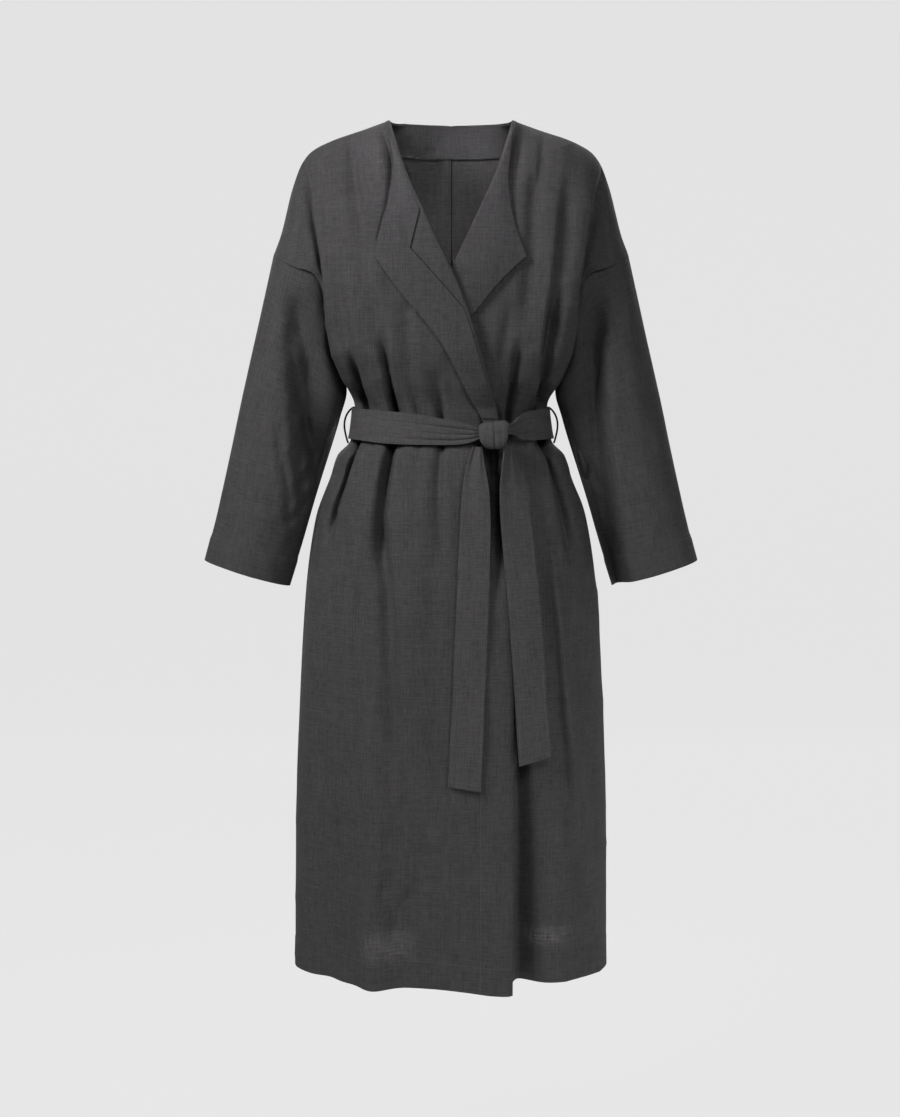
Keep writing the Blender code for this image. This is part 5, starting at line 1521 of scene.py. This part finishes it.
def add_side(side, cloths):
    """One side of the jacket: front, back, sleeve and facing with their stitches, a dark line of painted seam
    shade, and the belt loop.
    """
    front, back = front_sheet(side), back_sheet(side)
    sleeve = sleeve_sheet(side, front, back)
    facing = lapel_facing_sheet(side)
    front_wall = add_wall("front_" + side, front, CLOTH, cloths["front"])
    mark_patches(front_wall)
    back_wall = add_wall("back_" + side, back, CLOTH, cloths["linen"])
    sleeve_wall = add_wall("sleeve_" + side, sleeve, CLOTH, cloths["linen"])
    facing_wall = add_wall("facing_" + side, facing, FACING_CLOTH, cloths["facing"])
    front_lines = [hem_line("front", side), front_facing_line(side)]
    front_sewn = [add_stitches("stitches_front_" + side, front_lines, cloths["stitches"])]
    back_sewn = [add_stitches("stitches_back_" + side, [hem_line("back", side)], cloths["stitches"])]
    sleeve_sewn = [add_stitches("stitches_sleeve_" + side, [cuff_line(sleeve)], cloths["stitches"])]
    if side == "right":
        # Dark strip along the inner edge of the facing: painted shade where the facing's edge lies on the
        # lapel
        lines = [facing_seam_shade_line(side, facing)]
        add_stitches("seam_shade_facing_right", lines, cloths["seams"], SEAM_SHADE_PITCH,
                                        FACING_SEAM_SHADE_HALF_WIDTH)
    else:
        # Dark strip down the centre back, inside and outside: painted shade of the seam's crevice
        lines = centre_seam_shade_lines()
        back_sewn.append(add_stitches("seam_shade_centre_back", lines, cloths["seams"], SEAM_SHADE_PITCH,
                                      SEAM_SHADE_HALF_WIDTH))
    add_loop(side, cloths["seams"])


def add_neck_facing(cloths):
    """Band inside the back neck."""
    neck = add_wall("back_neck_facing", neck_facing_sheet(), FACING_CLOTH, cloths["facing"])
    sewn = add_stitches("stitches_neck", [neck_line()], cloths["stitches"])


def add_belt(cloths):
    """The tie belt: the band round the waist, the knot and the two hanging ends."""
    band = add_wall("belt_band", belt_band_sheet(), BELT_CLOTH, cloths["belt"])
    knot = add_wall("belt_knot", knot_sheet(), BELT_CLOTH, cloths["belt"])
    band_lines = [band_line(share) for share in BELT_STITCH_SHARES]
    sewn = add_stitches("stitches_belt", band_lines, cloths["stitches"])
    for side in SIDES:
        tail = add_wall("belt_tail_" + side, tail_sheet(side), BELT_CLOTH, cloths["belt"])
        sewn = add_stitches("stitches_tail_" + side, tail_lines(side), cloths["stitches"])


def add_stage():
    """Plain pale floor that runs up into a wall far behind."""
    floor_z, bend_y, radius = STAGE["floor_z"], STAGE["bend_y"], STAGE["radius"]
    profile = [(STAGE["front_y"], floor_z)]
    profile += [(bend_y + radius * math.sin(turn), floor_z + radius * (1 - math.cos(turn)))
                for turn in np.linspace(0.0, RIGHT_ANGLE, STAGE["bend_points"])]
    profile.append((bend_y + radius, STAGE["top_z"]))
    points = [(x, y, z) for y, z in profile for x in (-STAGE["half_width"], STAGE["half_width"])]
    faces = [(2 * row, 2 * row + 1, 2 * row + 3, 2 * row + 2) for row in range(len(profile) - 1)]
    mesh = bpy.data.meshes.new("floor")
    mesh.from_pydata(points, [], faces)
    mesh.polygons.foreach_set("use_smooth", np.ones(len(faces), bool))
    mesh.materials.append(plain("floor", (STAGE["grey"],) * 3, glow=STAGE["glow"]))
    add_object("floor", mesh)


def add_light(name, place, target, size, power, spread):
    """Soft square light that points at a target."""
    lamp = bpy.data.lights.new(name, "AREA")
    lamp.size = size
    lamp.energy = power
    lamp.spread = math.radians(spread)
    made = add_object(name, lamp)
    made.location = place
    made.rotation_euler = (Vector(target) - Vector(place)).to_track_quat("-Z", "Y").to_euler()
    made.visible_camera = False


def add_sky():
    """Weak even light from all round."""
    scene = bpy.context.scene
    scene.view_settings.view_transform = "Standard"
    scene.world = bpy.data.worlds.new("studio")
    scene.world.use_nodes = True
    sky = scene.world.node_tree.nodes["Background"]
    sky.inputs["Color"].default_value = (*SKY["colour"], 1.0)
    sky.inputs["Strength"].default_value = SKY["strength"]


def add_camera():
    """Camera in front of the jacket, tilted a little down."""
    camera = bpy.data.cameras.new("camera")
    camera.sensor_fit = "VERTICAL"
    camera.angle_y = 2 * math.atan(CAMERA["picture_height_px"] / 2 / CAMERA["focal_length_px"])
    made = add_object("camera", camera)
    made.location = CAMERA["place"]
    made.rotation_euler = (math.radians(90 - CAMERA["tilt"]), 0.0, 0.0)
    bpy.context.scene.camera = made


jacket_cloths = make_materials()
for jacket_side in SIDES:
    add_side(jacket_side, jacket_cloths)
add_neck_facing(jacket_cloths)
add_belt(jacket_cloths)
add_stage()
add_sky()
for light_name, light in LIGHTS.items():
    add_light(light_name, *light)
add_camera()
